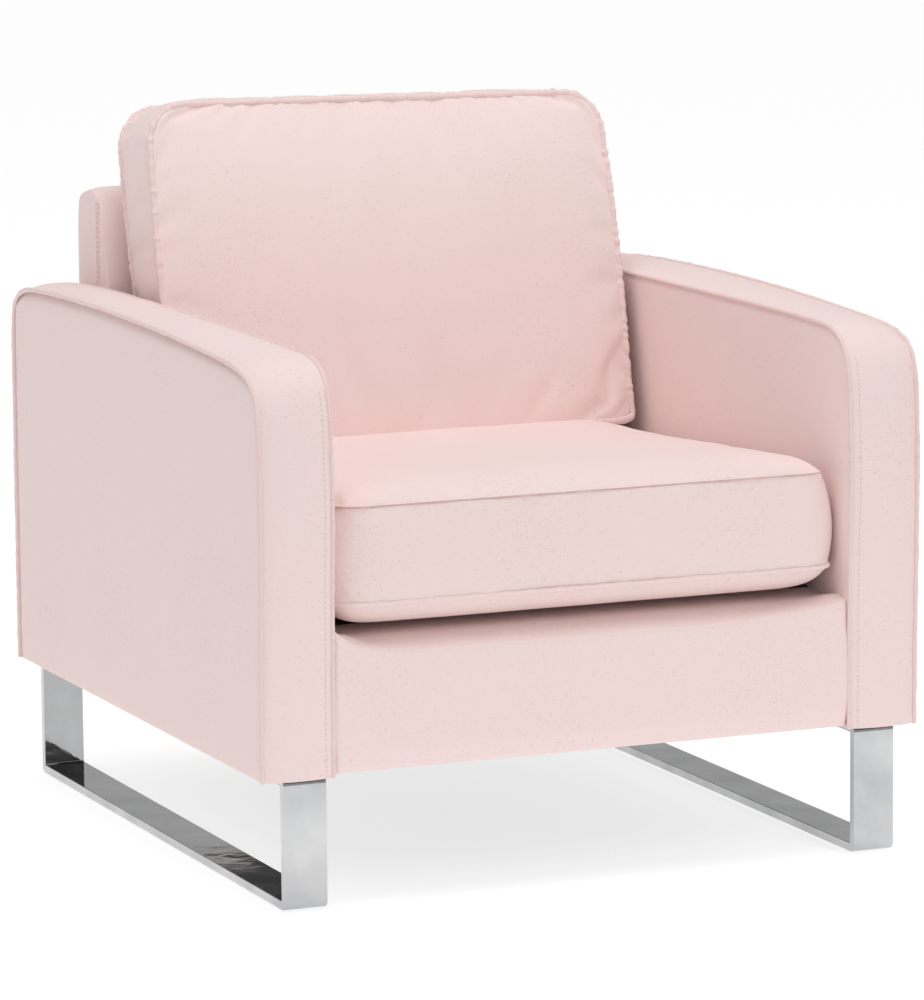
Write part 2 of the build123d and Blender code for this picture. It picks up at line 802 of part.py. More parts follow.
def zip_pieces(start, name):
    """A zip whose section lies on the start plane and runs along its normal, and its slider."""
    with BuildPart() as chain:
        with BuildSketch(start):
            zip_half_faces()
        extrude(amount=zip_length)
    chain.part.label = name + "_zip_chain"
    export_step(chain.part, "parts/" + chain.part.label + ".step")

    with BuildPart() as slider:
        with BuildSketch(start.offset(slider_clear)):
            zip_slider_face()
        extrude(amount=slider_length)
        plate_top = tooth_thick / 2 + slider_clear + slider_plate
        with BuildSketch(start.offset(slider_length / 2)):
            with Locations((0, plate_top + pull_thick / 2)):
                Rectangle(pull_width, pull_thick)
        extrude(amount=pull_length)
        pull_end = slider.faces().sort_by(Axis.X)[-1]
        fillet(pull_end.edges().group_by(SortBy.LENGTH)[0], pull_corner)
    slider.part.label = name + "_zip_slider"
    export_step(slider.part, "parts/" + slider.part.label + ".step")


def zip_box(start, side_room, in_room, out_room, mode=Mode.SUBTRACT):
    """A straight channel along a zip, for its slot in a cover or its room in a filling."""
    reach = zip_slot / 2 + tooth_width + tape_width + side_room
    with BuildSketch(start.offset(-side_room)) as channel:
        with Locations((0, (out_room - in_room) / 2)):
            Rectangle(2 * reach, in_room + out_room)
    extrude(channel.sketch, amount=zip_length + 2 * side_room, mode=mode)


# ---- loose cushions: two seam planes joined by the boxing, with a crown on each ----
def cushion_shape(planes, sizes, corner, crowns, crown_inset, welt, inset, mode):
    """Pillow between two outward-facing seam planes, drawn inset from its outer faces."""
    block = welt + inset


    def outline(plane, size, shrink):
        with BuildSketch(plane) as face:
            RectangleRounded(size[0] - 2 * shrink, size[1] - 2 * shrink, corner - block)
        return face.sketch

    seams = [outline(p.offset(-block), size, block) for p, size in zip(planes, sizes)]
    loft(seams, ruled=True, mode=mode)
    for plane, size, crown in zip(planes, sizes, crowns):
        base = outline(plane.offset(-block), size, 2 * welt + block)
        summit = outline(plane.offset(crown - inset), size, crown_inset + inset)
        loft([base, summit], ruled=True, mode=mode)


seat_middle_y = cushion_front + seat_depth / 2
fall = math.radians(seat_fall)
seat_top_seam = seat_top_seam_front - math.tan(fall) * seat_depth / 2
seat_planes = (
    Plane((0, seat_middle_y, seat_bottom_seam), x_dir=(-1, 0, 0), z_dir=(0, 0, -1)),
    Plane((0, seat_middle_y, seat_top_seam), x_dir=(1, 0, 0), z_dir=(0, math.sin(fall), math.cos(fall))),
)
seat_size = (2 * cushion_half, seat_depth)
seat_sizes = (seat_size, (seat_size[0], seat_depth / math.cos(fall)))
seat_crowns = (seat_bottom_seam - seat_bottom, seat_top_crown)
seat_shape = (seat_planes, seat_sizes, seat_corner, seat_crowns, seat_crown_inset, 0.0)

seat_zip_level = (seat_bottom_seam + seat_top_seam) / 2
seat_zip = Plane(
    (-zip_length / 2, seat_back - cushion_cover / 2, seat_zip_level),
    x_dir=(0, 0, -1),
    z_dir=(1, 0, 0),
)

with BuildPart() as seat_cover:
    cushion_shape(*seat_shape, 0.0, Mode.ADD)
    cushion_shape(*seat_shape, cushion_cover, Mode.SUBTRACT)
    zip_box(seat_zip, fit_gap, zip_room, zip_room)
seat_cover.part.label = "seat_cushion_cover"
export_step(seat_cover.part, "parts/seat_cushion_cover.step")

with BuildPart() as seat_core:
    cushion_shape(*seat_shape, cushion_cover + fit_gap, Mode.ADD)
    zip_box(seat_zip, fit_gap, zip_room, zip_room)
seat_core.part.label = "seat_foam_core"
export_step(seat_core.part, "parts/seat_foam_core.step")

zip_pieces(seat_zip, "seat")

# The back cushion stands on its rear lower welt on the seat cushion, and leans on the back.
welt_through = back_cushion_foot_thick - cushion_welt
rest_y = back_cushion_front + welt_through * rise + cushion_welt * run
rest_seam = seat_top_seam - math.tan(fall) * (rest_y - seat_middle_y)
rest_crown = seat_top_crown * min(1.0, (seat_back - rest_y) / seat_crown_inset)
foot_level = rest_seam + rest_crown + fit_gap + cushion_welt + welt_through * run - cushion_welt * rise
wedge = math.atan((back_cushion_head_thick - back_cushion_foot_thick) / back_cushion_height)
foot = Vector(0, back_cushion_front, foot_level)
up = Vector(0, run, rise)
through = Vector(0, rise, -run)
rear_normal = through * math.cos(wedge) - up * math.sin(wedge)
rear_up = up * math.cos(wedge) + through * math.sin(wedge)
front_middle = foot + up * (back_cushion_height / 2)
rear_height = back_cushion_height / math.cos(wedge)
rear_middle = foot + through * back_cushion_foot_thick + rear_up * (rear_height / 2)
cushion_planes = (
    Plane(front_middle, x_dir=(1, 0, 0), z_dir=-through),
    Plane(rear_middle, x_dir=(-1, 0, 0), z_dir=rear_normal),
)
cushion_sizes = (
    (back_cushion_width, back_cushion_height),
    (back_cushion_width, rear_height),
)
back_face_through = (back_front - foot.Y) * rise - (back_top - foot.Z) * run
crown_edge_through = back_cushion_foot_thick + (rear_height - back_crown_inset) * math.sin(wedge)
back_rear_crown = (back_face_through - fit_gap - crown_edge_through) / math.cos(wedge)
cushion_crowns = (back_front_crown, back_rear_crown)
pillow = (cushion_planes, cushion_sizes, back_corner, cushion_crowns, back_crown_inset, cushion_welt)


def cushion_welt_path(plane, size):
    """Closed seam line of one face of the back cushion."""
    inset = 2 * cushion_welt
    with BuildSketch(plane.offset(-cushion_welt)) as ring:
        RectangleRounded(size[0] - inset, size[1] - inset, back_corner - cushion_welt)
    return ring.sketch.faces()[0].outer_wire()


def sweep_cushion_welts(radius, mode):
    """Round cord along both seams of the back cushion."""
    for plane, size in zip(cushion_planes, cushion_sizes):
        route = cushion_welt_path(plane, size)
        with BuildSketch(Plane(route @ 0, z_dir=route % 0)) as cord:
            Circle(radius)
        sweep(cord.sketch, path=route, mode=mode)


back_zip_origin = foot + through * (back_cushion_foot_thick / 2) + up * zip_recess
recess_mouth = zip_recess - cushion_welt
back_zip = Plane(
    back_zip_origin + Vector(-zip_length / 2, 0, 0),
    x_dir=-through,
    z_dir=(1, 0, 0),
)

with BuildPart() as back_cover:
    cushion_shape(*pillow, 0.0, Mode.ADD)
    cushion_shape(*pillow, cushion_cover, Mode.SUBTRACT)
    zip_box(back_zip, fit_gap + cushion_cover, tape_thick / 2, recess_mouth, Mode.ADD)
    zip_box(back_zip, fit_gap, zip_room, zip_recess)
    sweep_cushion_welts(cushion_welt + groove_gap, Mode.SUBTRACT)
back_cover.part.label = "back_cushion_cover"
export_step(back_cover.part, "parts/back_cushion_cover.step")

with BuildPart() as filling:
    cushion_shape(*pillow, cushion_cover + fit_gap, Mode.ADD)
    zip_box(back_zip, 2 * fit_gap + cushion_cover, zip_room, zip_recess)
    sweep_cushion_welts(cushion_welt + 2 * groove_gap, Mode.SUBTRACT)
filling.part.label = "back_cushion_filling"
export_step(filling.part, "parts/back_cushion_filling.step")

with BuildPart() as cushion_welts:
    sweep_cushion_welts(cushion_welt, Mode.ADD)
cushion_welts.part.label = "back_cushion_welts"
export_step(cushion_welts.part, "parts/back_cushion_welts.step")

zip_pieces(back_zip, "back")
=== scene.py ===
# Upholstered armchair with a loose seat cushion, a loose back cushion and chromed sled legs.
# Pink linen-look cloth over foam, on a timber frame. Metres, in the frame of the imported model.
import math

import bmesh
import bpy
from mathutils import Matrix, Vector, noise


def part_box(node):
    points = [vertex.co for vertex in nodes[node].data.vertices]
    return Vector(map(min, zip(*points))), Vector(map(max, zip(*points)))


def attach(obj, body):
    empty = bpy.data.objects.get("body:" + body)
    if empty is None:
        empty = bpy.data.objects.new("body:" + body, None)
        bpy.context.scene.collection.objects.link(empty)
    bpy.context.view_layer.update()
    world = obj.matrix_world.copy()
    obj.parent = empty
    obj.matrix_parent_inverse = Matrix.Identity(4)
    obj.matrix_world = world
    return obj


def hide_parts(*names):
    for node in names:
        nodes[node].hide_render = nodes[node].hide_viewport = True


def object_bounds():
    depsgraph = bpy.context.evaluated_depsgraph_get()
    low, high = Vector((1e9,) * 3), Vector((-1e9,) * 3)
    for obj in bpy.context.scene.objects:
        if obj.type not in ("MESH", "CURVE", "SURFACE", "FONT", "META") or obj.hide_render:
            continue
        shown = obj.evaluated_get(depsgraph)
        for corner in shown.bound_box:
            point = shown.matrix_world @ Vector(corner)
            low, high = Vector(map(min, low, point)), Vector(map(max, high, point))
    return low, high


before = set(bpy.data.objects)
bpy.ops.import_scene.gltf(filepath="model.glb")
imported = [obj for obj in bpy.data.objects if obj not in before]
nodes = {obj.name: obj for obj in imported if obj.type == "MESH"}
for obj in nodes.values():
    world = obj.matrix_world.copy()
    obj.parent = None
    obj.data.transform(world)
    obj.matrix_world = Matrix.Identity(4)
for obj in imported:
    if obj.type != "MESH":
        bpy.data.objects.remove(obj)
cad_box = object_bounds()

# ---------------------------------------------------------------- sled legs
# Two closed loops of flat steel bar, bent, welded and polished, then chromed.
# They are bolted up into the arms, and stand on four nylon glides.


def new_material(name):
    material = bpy.data.materials.new(name)
    material.use_nodes = True
    tree = material.node_tree
    return material, tree, tree.nodes["Principled BSDF"]


def add_node(tree, kind, **settings):
    made = tree.nodes.new("ShaderNode" + kind)
    for key, value in settings.items():
        if hasattr(made, key) and key not in made.inputs:
            setattr(made, key, value)
        else:
            made.inputs[key.replace("_", " ")].default_value = value
    return made


def object_noise(tree, scale, detail=3.0, stretch=(1, 1, 1)):
    place = add_node(tree, "TexCoord")
    turn = add_node(tree, "Mapping")
    turn.inputs["Scale"].default_value = stretch
    grain = add_node(tree, "TexNoise", Scale=scale, Detail=detail)
    tree.links.new(place.outputs["Object"], turn.inputs["Vector"])
    tree.links.new(turn.outputs["Vector"], grain.inputs["Vector"])
    return grain.outputs["Fac"]


def ramp(tree, source, low, high, start=0.3, end=0.7):
    made = add_node(tree, "ValToRGB")
    made.color_ramp.elements[0].position, made.color_ramp.elements[1].position = start, end
    made.color_ramp.elements[0].color = (*low, 1)
    made.color_ramp.elements[1].color = (*high, 1)
    tree.links.new(source, made.inputs["Fac"])
    return made.outputs["Color"]


def spread(tree, source, low, high):
    made = add_node(tree, "MapRange", From_Min=0.3, From_Max=0.7, To_Min=low, To_Max=high)
    tree.links.new(source, made.inputs["Value"])
    return made.outputs["Result"]


def bump(tree, shader, source, depth, strength=1.0):
    made = add_node(tree, "Bump", Strength=strength, Distance=depth)
    tree.links.new(source, made.inputs["Height"])
    tree.links.new(made.outputs["Normal"], shader.inputs["Normal"])
    return made


def dress(node, material):
    nodes[node].data.materials.clear()
    nodes[node].data.materials.append(material)


def hard_finish(name, low, high, metallic, rough, scale, depth, stretch=(1, 1, 1)):
    material, tree, shader = new_material(name)
    grain = object_noise(tree, scale, 4.0, stretch)
    tree.links.new(ramp(tree, grain, low, high), shader.inputs["Base Color"])
    tree.links.new(spread(tree, grain, *rough), shader.inputs["Roughness"])
    shader.inputs["Metallic"].default_value = metallic
    bump(tree, shader, grain, depth)
    return material


chrome = hard_finish(
    "polished_chrome", (0.44, 0.445, 0.455), (0.60, 0.605, 0.61), 1.0, (0.05, 0.12), 14.0, 0.0009
)
glide_nylon = hard_finish(
    "glide_nylon", (0.02, 0.02, 0.022), (0.035, 0.035, 0.037), 0.0, (0.45, 0.6), 900.0, 0.0001
)
zinc_steel = hard_finish(
    "zinc_plated_steel", (0.50, 0.50, 0.47), (0.66, 0.66, 0.62), 1.0, (0.28, 0.45), 260.0, 0.0001
)
for side in ("left", "right"):
    dress(side + "_sled_leg", chrome)
dress("sled_glides", glide_nylon)
for fixing in (
    "leg_bolts",
    "leg_tee_nuts",
    "seat_frame_bolts",
    "back_frame_bolts",
    "frame_tee_nuts",
    "spring_clips",
    "dust_cover_staples",
):
    dress(fixing, zinc_steel)

# ---------------------------------------------------------------- inner frame
# Timber rails and posts, hardboard arm panels, zigzag springs and woven webbing.
# Screwed and bolted together inside the upholstery, with the grain along each member.


def timber_finish(name, stretch):
    return hard_finish(
        name, (0.52, 0.36, 0.20), (0.70, 0.53, 0.33), 0.0, (0.55, 0.72), 60.0, 0.0004, stretch
    )


grain_across = timber_finish("timber_grain_across", (0.05, 1, 1))
grain_along = timber_finish("timber_grain_along", (1, 0.05, 1))
grain_upright = timber_finish("timber_grain_upright", (1, 1, 0.05))
hardboard = hard_finish(
    "hardboard", (0.25, 0.15, 0.08), (0.36, 0.24, 0.14), 0.0, (0.6, 0.8), 500.0, 0.0003
)
spring_steel = hard_finish(
    "spring_steel", (0.20, 0.19, 0.18), (0.34, 0.33, 0.31), 1.0, (0.3, 0.5), 200.0, 0.0001
)
webbing = hard_finish(
    "woven_webbing", (0.42, 0.34, 0.20), (0.58, 0.49, 0.33), 0.0, (0.8, 0.95), 420.0, 0.0006
)
for rail in ("seat_front_rail", "seat_rear_rail", "back_lower_rail", "back_top_rail"):
    dress(rail, grain_across)
for side in ("left_", "right_"):
    for rail in ("arm_top_rail", "arm_base_rail", "seat_rail"):
        dress(side + rail, grain_along)
    for post in ("arm_front_post", "arm_rear_post", "back_stile"):
        dress(side + post, grain_upright)
    for panel in ("arm_inner_board", "arm_outer_board"):
        dress(side + panel, hardboard)
dress("seat_corner_blocks", grain_upright)
dress("seat_springs", spring_steel)
dress("back_webbing", webbing)

# ---------------------------------------------------------------- arms
# Foam over hardboard and timber, closed in a tight cloth cover of three panels: outer,
# inner, and the band over the front, top and back. A thin welt is sewn into both seams.

cloth_dark = (0.805, 0.612, 0.588)
cloth_pale = (0.930, 0.758, 0.736)
# Pale end of a much darker copy of the cloth: painted shade for the crease of the seat cushion's
# top seam.
seam_crease_painted_shade = (0.660, 0.460, 0.430)
thread_colour = (0.850, 0.640, 0.610)


def linen(name, dark, pale):
    """Plain weave on the piece's own map, in metres: slubby threads both ways."""
    material, tree, shader = new_material(name)
    place = add_node(tree, "UVMap", uv_map="cloth")
    threads = []
    for stretch in ((1, 0.16, 1), (0.16, 1, 1)):
        turn = add_node(tree, "Mapping")
        turn.inputs["Scale"].default_value = stretch
        thread = add_node(tree, "TexNoise", Scale=760.0, Detail=1.0)
        tree.links.new(place.outputs["UV"], turn.inputs["Vector"])
        tree.links.new(turn.outputs["Vector"], thread.inputs["Vector"])
        threads.append(thread.outputs["Fac"])
    crossed = add_node(tree, "Math", operation="ADD")
    tree.links.new(threads[0], crossed.inputs[0])
    tree.links.new(threads[1], crossed.inputs[1])
    cloudy = object_noise(tree, 7.0, 2.0)
    soft = add_node(tree, "Math", operation="MULTIPLY_ADD")
    soft.inputs[1].default_value = 0.35
    tree.links.new(cloudy, soft.inputs[0])
    tree.links.new(crossed.outputs[0], soft.inputs[2])
    tree.links.new(
        ramp(tree, soft.outputs[0], dark, pale, 0.76, 1.50), shader.inputs["Base Color"]
    )
    shader.inputs["Roughness"].default_value = 0.92
    shader.inputs["Specular IOR Level"].default_value = 0.22
    shader.inputs["Sheen Weight"].default_value = 0.22
    shader.inputs["Sheen Roughness"].default_value = 0.45
    shader.inputs["Sheen Tint"].default_value = (1.0, 0.93, 0.92, 1)
    bump(tree, shader, crossed.outputs[0], 0.00016, 0.45)
    return material


cloth = linen("pink_linen_cloth", cloth_dark, cloth_pale)
# The welts are cut from the same cloth; this slightly darker copy of it is painted shade along the
# seams.
welt_cloth_painted_shade = linen("welt_cloth_painted_shade", (0.76, 0.560, 0.535), (0.89, 0.70, 0.68))
# A much darker copy of the cloth: painted shade in the crease of the seat cushion's top seam.
seam_painted_shade_cloth = linen("seam_painted_shade_cloth", (0.58, 0.40, 0.38), seam_crease_painted_shade)
sewing_thread = hard_finish(
    "sewing_thread", (0.72, 0.50, 0.47), thread_colour, 0.0, (0.6, 0.8), 1500.0, 0.0001
)

stitch_pitch, thread_radius = 0.0058, 0.00045

half_width = cad_box[1].x
inner_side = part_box("right_arm_inner_cover")[0].x
body_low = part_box("left_arm_band_cover")[0].z


def eased(t, crowd):
    """A share from 0 to 1, drawn towards its two ends as crowd goes to 1."""
    return t + crowd * (0.5 - 0.5 * math.cos(math.pi * t) - t)


def smooth_line(points, count):
    """Points evenly spaced along a smooth curve through the given ones."""
    points = [Vector(p) for p in points]
    ends = [points[0] * 2 - points[1], *points, points[-1] * 2 - points[-2]]
    fine = []
    for a, b, c, d in zip(ends, ends[1:], ends[2:], ends[3:]):
        for step in range(24):
            t = step / 24
            fine.append(
                0.5
                * (
                    2 * b
                    + (c - a) * t
                    + (2 * a - 5 * b + 4 * c - d) * t * t
                    + (3 * b - a - 3 * c + d) * t**3
                )
            )
    fine.append(points[-1])
    return even(fine, count)


def even(line, count, crowd=0.0):
    """The same line with count + 1 points, drawn together at its ends as crowd goes to 1."""
    reach = [0.0]
    for a, b in zip(line, line[1:]):
        reach.append(reach[-1] + (b - a).length)
    made, at = [], 0
    for i in range(count + 1):
        want = eased(i / count, crowd) * reach[-1]
        while at < len(line) - 2 and reach[at + 1] < want:
            at += 1
        run = reach[at + 1] - reach[at]
        made.append(line[at].lerp(line[at + 1], (want - reach[at]) / run if run else 0))
    return made


def coons(low, high, left, right):
    """Rows of points that fill the space between four edges that meet at their ends."""
    n, m = len(low) - 1, len(left) - 1
    rows = []
    for j in range(m + 1):
        row = []
        for i in range(n + 1):
            u = (low[i] - low[0]).length / max((low[n] - low[0]).length, 1e-9)
            u = min(u, 1)
            v = min((left[j] - left[0]).length / max((left[m] - left[0]).length, 1e-9), 1)
            row.append(
                low[i] * (1 - v)
                + high[i] * v
                + left[j] * (1 - u)
                + right[j] * u
                - (low[0] * (1 - u) + low[n] * u) * (1 - v)
                - (high[0] * (1 - u) + high[n] * u) * v
            )
        rows.append(row)
    return rows


def cloth_piece(name, patches, material):
    """One closed cover from rows of points, each patch with its cloth map in metres."""
    mesh = bpy.data.meshes.new(name)
    piece = bpy.data.objects.new(name, mesh)
    bpy.context.scene.collection.objects.link(piece)
    shape = bmesh.new()
    layer = shape.loops.layers.uv.new("cloth")
    for rows, flat in patches:
        grid = [[shape.verts.new(p) for p in row] for row in rows]
        for j in range(len(grid) - 1):
            for i in range(len(grid[j]) - 1):
                corners = ((j, i), (j, i + 1), (j + 1, i + 1), (j + 1, i))
                face = shape.faces.new([grid[a][b] for a, b in corners])
                for loop, (a, b) in zip(face.loops, corners):
                    loop[layer].uv = flat[a][b]
    bmesh.ops.remove_doubles(shape, verts=shape.verts, dist=0.00002)
    bmesh.ops.recalc_face_normals(shape, faces=shape.faces)
    shape.to_mesh(mesh)
    shape.free()
    mesh.materials.append(material)
    mesh.polygons.foreach_set("use_smooth", [True] * len(mesh.polygons))
    return piece


def flat_map(rows, across, up):
    """Cloth map of a panel by two of its axes."""
    return [[(p[across], p[up]) for p in row] for row in rows]


def strip_map(rows):
    """Cloth map of a strip: along its length, and across it."""
    lengths = [0.0]
    for a, b in zip(rows, rows[1:]):
        lengths.append(lengths[-1] + (b[len(b) // 2] - a[len(a) // 2]).length)
    made = []
    for row, s in zip(rows, lengths):
        t, line = 0.0, [(0.0, s)]
        for a, b in zip(row, row[1:]):
            t += (b - a).length
            line.append((t, s))
        made.append(line)
    return made


def ripple(point, size, seed=0.0):
    """Smooth waves from -1 to 1, about one per size."""
    return noise.noise(Vector((point[0] / size + seed, point[1] / size - seed, point[2] / size)))


def strand(name, line, across, radius, material, ruffle=0.0, step=0.009, squash=1.0, closed=False):
    """A sewn cord along a line in the plane square to across, gathered and let out on its way."""
    count, sides = len(line), 8
    rings = []
    for i, p in enumerate(line):
        before = line[i - 1] if i or closed else line[0]
        after = line[(i + 1) % count] if i < count - 1 or closed else line[-1]
        along = (after - before).normalized()
        second = along.cross(across).normalized()
        first = second.cross(along).normalized()
        r = radius * (1 + ruffle * ripple(p, step, 3.1))
        r = max(r, radius * 0.35)
        rings.append(
            [
                p
                + first * (r * squash * math.cos(k * math.tau / sides))
                + second * (r * math.sin(k * math.tau / sides))
                for k in range(sides + 1)
            ]
        )
    if closed:
        rings.append(rings[0])
    else:
        for tip, end in ((0, line[0]), (-1, line[-1])):
            cap = [end + (p - end) * 0.02 for p in rings[tip]]
            rings = [cap, *rings] if tip == 0 else [*rings, cap]
    return cloth_piece(name, [(rings, strip_map(rings))], material)


def joined(pieces, name):
    bpy.ops.object.select_all(action="DESELECT")
    for piece in pieces:
        piece.select_set(True)
    bpy.context.view_layer.objects.active = pieces[0]
    bpy.ops.object.join()
    pieces[0].name = name
    return pieces[0]


def stitches(name, line, normals, pitch, radius, material):
    """A row of lockstitches: short threads that lie on the cloth and dip at both ends."""
    length = sum((b - a).length for a, b in zip(line, line[1:]))
    count = max(int(length / pitch), 2)
    evenly = even(line, count * 2)
    facing = even(normals, count * 2)
    shape = bmesh.new()
    layer = shape.loops.layers.uv.new("cloth")
    for i in range(0, count * 2, 2):
        a, b = evenly[i], evenly[i].lerp(evenly[i + 1], 1.35)
        up = facing[i].normalized()
        along = (b - a).normalized()
        side = along.cross(up).normalized()
        rings = []
        for t, size, lift in ((0, 0.45, -0.6), (0.2, 1, 0.35), (0.8, 1, 0.35), (1, 0.45, -0.6)):
            centre = a.lerp(b, t) + up * (radius * lift)
            rings.append(
                [
                    shape.verts.new(
                        centre
                        + side * (radius * size * math.cos(k * math.tau / 6))
                        + up * (radius * size * math.sin(k * math.tau / 6))
                    )
                    for k in range(6)
                ]
            )
        for low, high in zip(rings, rings[1:]):
            for k in range(6):
                shape.faces.new((low[k], low[(k + 1) % 6], high[(k + 1) % 6], high[k]))
        shape.faces.new(rings[0][::-1])
        shape.faces.new(rings[-1])
    for face in shape.faces:
        for loop in face.loops:
            loop[layer].uv = (loop.vert.co.x + loop.vert.co.y, loop.vert.co.z)
    bmesh.ops.recalc_face_normals(shape, faces=shape.faces)
    mesh = bpy.data.meshes.new(name)
    shape.to_mesh(mesh)
    shape.free()
    mesh.materials.append(material)
    piece = bpy.data.objects.new(name, mesh)
    bpy.context.scene.collection.objects.link(piece)
    return piece


# Edges of the two seams of an arm, as (y, z), from the front hem over the top to the back hem.
outer_seam = (
    (-0.4135, 0.1468), (-0.4140, 0.230), (-0.4170, 0.330), (-0.4190, 0.430), (-0.4180, 0.500),
    (-0.4130, 0.545), (-0.4020, 0.570), (-0.3810, 0.583), (-0.3400, 0.5915), (-0.2640, 0.5965),
    (-0.1470, 0.6015), (-0.0400, 0.6045), (0.0900, 0.6060), (0.2000, 0.6055), (0.3000, 0.6030),
    (0.3620, 0.5985), (0.3950, 0.5860), (0.4090, 0.5620), (0.4120, 0.5000), (0.4130, 0.3200),
    (0.4135, 0.1468),
)
inner_seam = (
    (-0.4135, 0.1468), (-0.4140, 0.240), (-0.4165, 0.350), (-0.4200, 0.430), (-0.4170, 0.515),
    (-0.4100, 0.558), (-0.3980, 0.580), (-0.3780, 0.5925), (-0.3450, 0.5985), (-0.2500, 0.6005),
    (-0.1470, 0.6010), (-0.0400, 0.6010), (0.0900, 0.6010), (0.2000, 0.6010), (0.3000, 0.6005),
    (0.3620, 0.5975), (0.3950, 0.5860), (0.4090, 0.5620), (0.4120, 0.5000), (0.4130, 0.3200),
    (0.4135, 0.1468),
)
front_turn, rear_turn = (-0.400, 0.574), (0.400, 0.580)
upright_steps, level_steps, band_steps = 90, 130, 26
upright_crowd, level_crowd, band_crowd = 0.7, 0.6, 0.6  # towards the ends, 0 for even steps
line_points = 900  # along a smooth seam before it is cut up
body_middle = 0.36  # height that the band faces away from


def split_edge(seam, x):
    """Front, top and back of a seam, cut at the middle of its two rounded corners."""
    line = smooth_line([(x, y, z) for y, z in seam], line_points)
    cuts = [
        min(range(len(line)), key=lambda i: (line[i].yz - Vector(turn)).length)
        for turn in (front_turn, rear_turn)
    ]
    return (
        even(line[: cuts[0] + 1], upright_steps, upright_crowd),
        even(line[cuts[0] : cuts[1] + 1], level_steps, level_crowd),
        even(line[cuts[1] :], upright_steps, upright_crowd)[::-1],
    )


def side_panel(front, top, back, swell, groove, away):
    """A flat panel of cloth with a soft edge that sinks into the seam all round."""
    hem = even([front[0], back[0]], level_steps, level_crowd)
    rows = coons(hem, top, front, back)
    for j, row in enumerate(rows):
        for i, p in enumerate(row):
            from_top = (rows[-1][i] - p).length
            from_end = min((p - rows[j][0]).length, (rows[j][-1] - p).length)
            edge = min(from_top, from_end)
            if j in (0, len(rows) - 1) or i in (0, len(row) - 1):
                continue
            deep = groove if from_top < from_end else groove * 0.35
            rise = swell * (1 - math.exp(-edge / 0.035))
            sink = deep * math.exp(-((edge / 0.0068) ** 2))
            pucker = 0.0007 * ripple(p, 0.013, 1.7) * math.exp(-edge / 0.012)
            wave = 0.0012 * ripple(p, 0.16) * (1 - math.exp(-edge / 0.03))
            hemmed = 1 - 0.8 * math.exp(-(p.z - body_low) / 0.02)
            p.x += away * ((rise + wave) * hemmed + pucker - sink)
    return rows


def band_rows(inner, outer, crown):
    """The strip between two seams, crowned along its middle and puckered beside its welts."""
    path_in = inner[0] + inner[1][1:] + inner[2][::-1][1:]
    path_out = outer[0] + outer[1][1:] + outer[2][::-1][1:]
    rows = []
    for i, (a, b) in enumerate(zip(path_in, path_out)):
        before, after = max(i - 1, 0), min(i + 1, len(path_in) - 1)
        along = (path_in[after] + path_out[after]) - (path_in[before] + path_out[before])
        outward = Vector((0, along.z, -along.y)).normalized()
        if outward.dot(Vector((0, (a.y + b.y) / 2, (a.z + b.z) / 2 - body_middle))) < 0:
            outward = -outward
        row = []
        for k in range(band_steps + 1):
            t = eased(k / band_steps, band_crowd)
            p = a.lerp(b, t)
            if 0 < k < band_steps:
                edge = min(t, 1 - t) * (b - a).length
                rise = crown * (1 - abs(2 * t - 1) ** 2.6)
                pucker = 0.0008 * ripple(p, 0.012, 5.3) * math.exp(-edge / 0.011)
                wave = 0.0010 * ripple(p, 0.09, 2.2)
                p = p + outward * (rise + pucker + wave * (1 - abs(2 * t - 1)))
            row.append(p)
        rows.append(row)
    return rows


def make_arm(side, sign):
    inner = split_edge(inner_seam, sign * inner_side)
    outer = split_edge(outer_seam, sign * (half_width - 0.0015))
    out_panel = side_panel(*outer, 0.0035, 0.0070, sign)
    in_panel = side_panel(*inner, 0.0006, 0.0022, -sign)
    band = band_rows(inner, outer, 0.0075)
    across = [even([a, b], band_steps, band_crowd) for a, b in zip(in_panel[0], out_panel[0])]
    body = cloth_piece(
        side + "_arm_cover",
        [
            (out_panel, flat_map(out_panel, 1, 2)),
            (in_panel, flat_map(in_panel, 1, 2)),
            (band, strip_map(band)),
            (across, flat_map(across, 0, 1)),
        ],
        cloth,
    )
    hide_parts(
        side + "_arm_padding",
        side + "_arm_outer_cover",
        side + "_arm_inner_cover",
        side + "_arm_band_cover",
    )
    welts = []
    for seam, x, out in (
        (outer, sign * (half_width - 0.0010), 0.0012),
        (inner, sign * (inner_side + 0.0012), 0.0010),
    ):
        path = seam[0] + seam[1][1:] + seam[2][::-1][1:]
        line = []
        for p in even(path, 620):
            away = Vector((0, p.y, p.z - body_middle)).normalized()
            line.append(Vector((x, p.y, p.z)) + away * out)
        # The welt's darker cloth is painted shade along the arm's seams.
        welts.append(strand("welt", line, Vector((1, 0, 0)), 0.0026, welt_cloth_painted_shade, 0.28, 0.010))
    piping = joined(welts, side + "_arm_piping")
    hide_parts(side + "_arm_welts")
    pieces = [body, piping]
    # A row of lockstitches down the front of the band, 9 mm from its inner welt.
    from_welt = 0.12 * (half_width - inner_side)
    column = min(
        range(1, band_steps), key=lambda k: abs((band[0][k] - band[0][0]).length - from_welt)
    )
    stop = upright_steps - 4
    line = [row[column].copy() for row in band[:stop]]
    facing = []
    for a, b in zip(band[:stop], band[1 : stop + 1]):
        along = b[column] - a[column]
        facing.append(Vector((0, -along.z, along.y)).normalized())
    name = side + "_arm_inner_stitching"
    pieces.append(stitches(name, line, facing, stitch_pitch, thread_radius, sewing_thread))
    for piece in pieces:
        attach(piece, "chair_frame")


make_arm("left", -1)
make_arm("right", 1)

# ---------------------------------------------------------------- front rail
# Foam over the timber rail between the arms, in one strip of cloth that is pulled over
# the top edge and stapled beneath. The cloth is drawn up a little at both arms.

rail_lo, rail_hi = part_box("front_rail_cover")
deck_lo, deck_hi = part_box("deck_cloth")


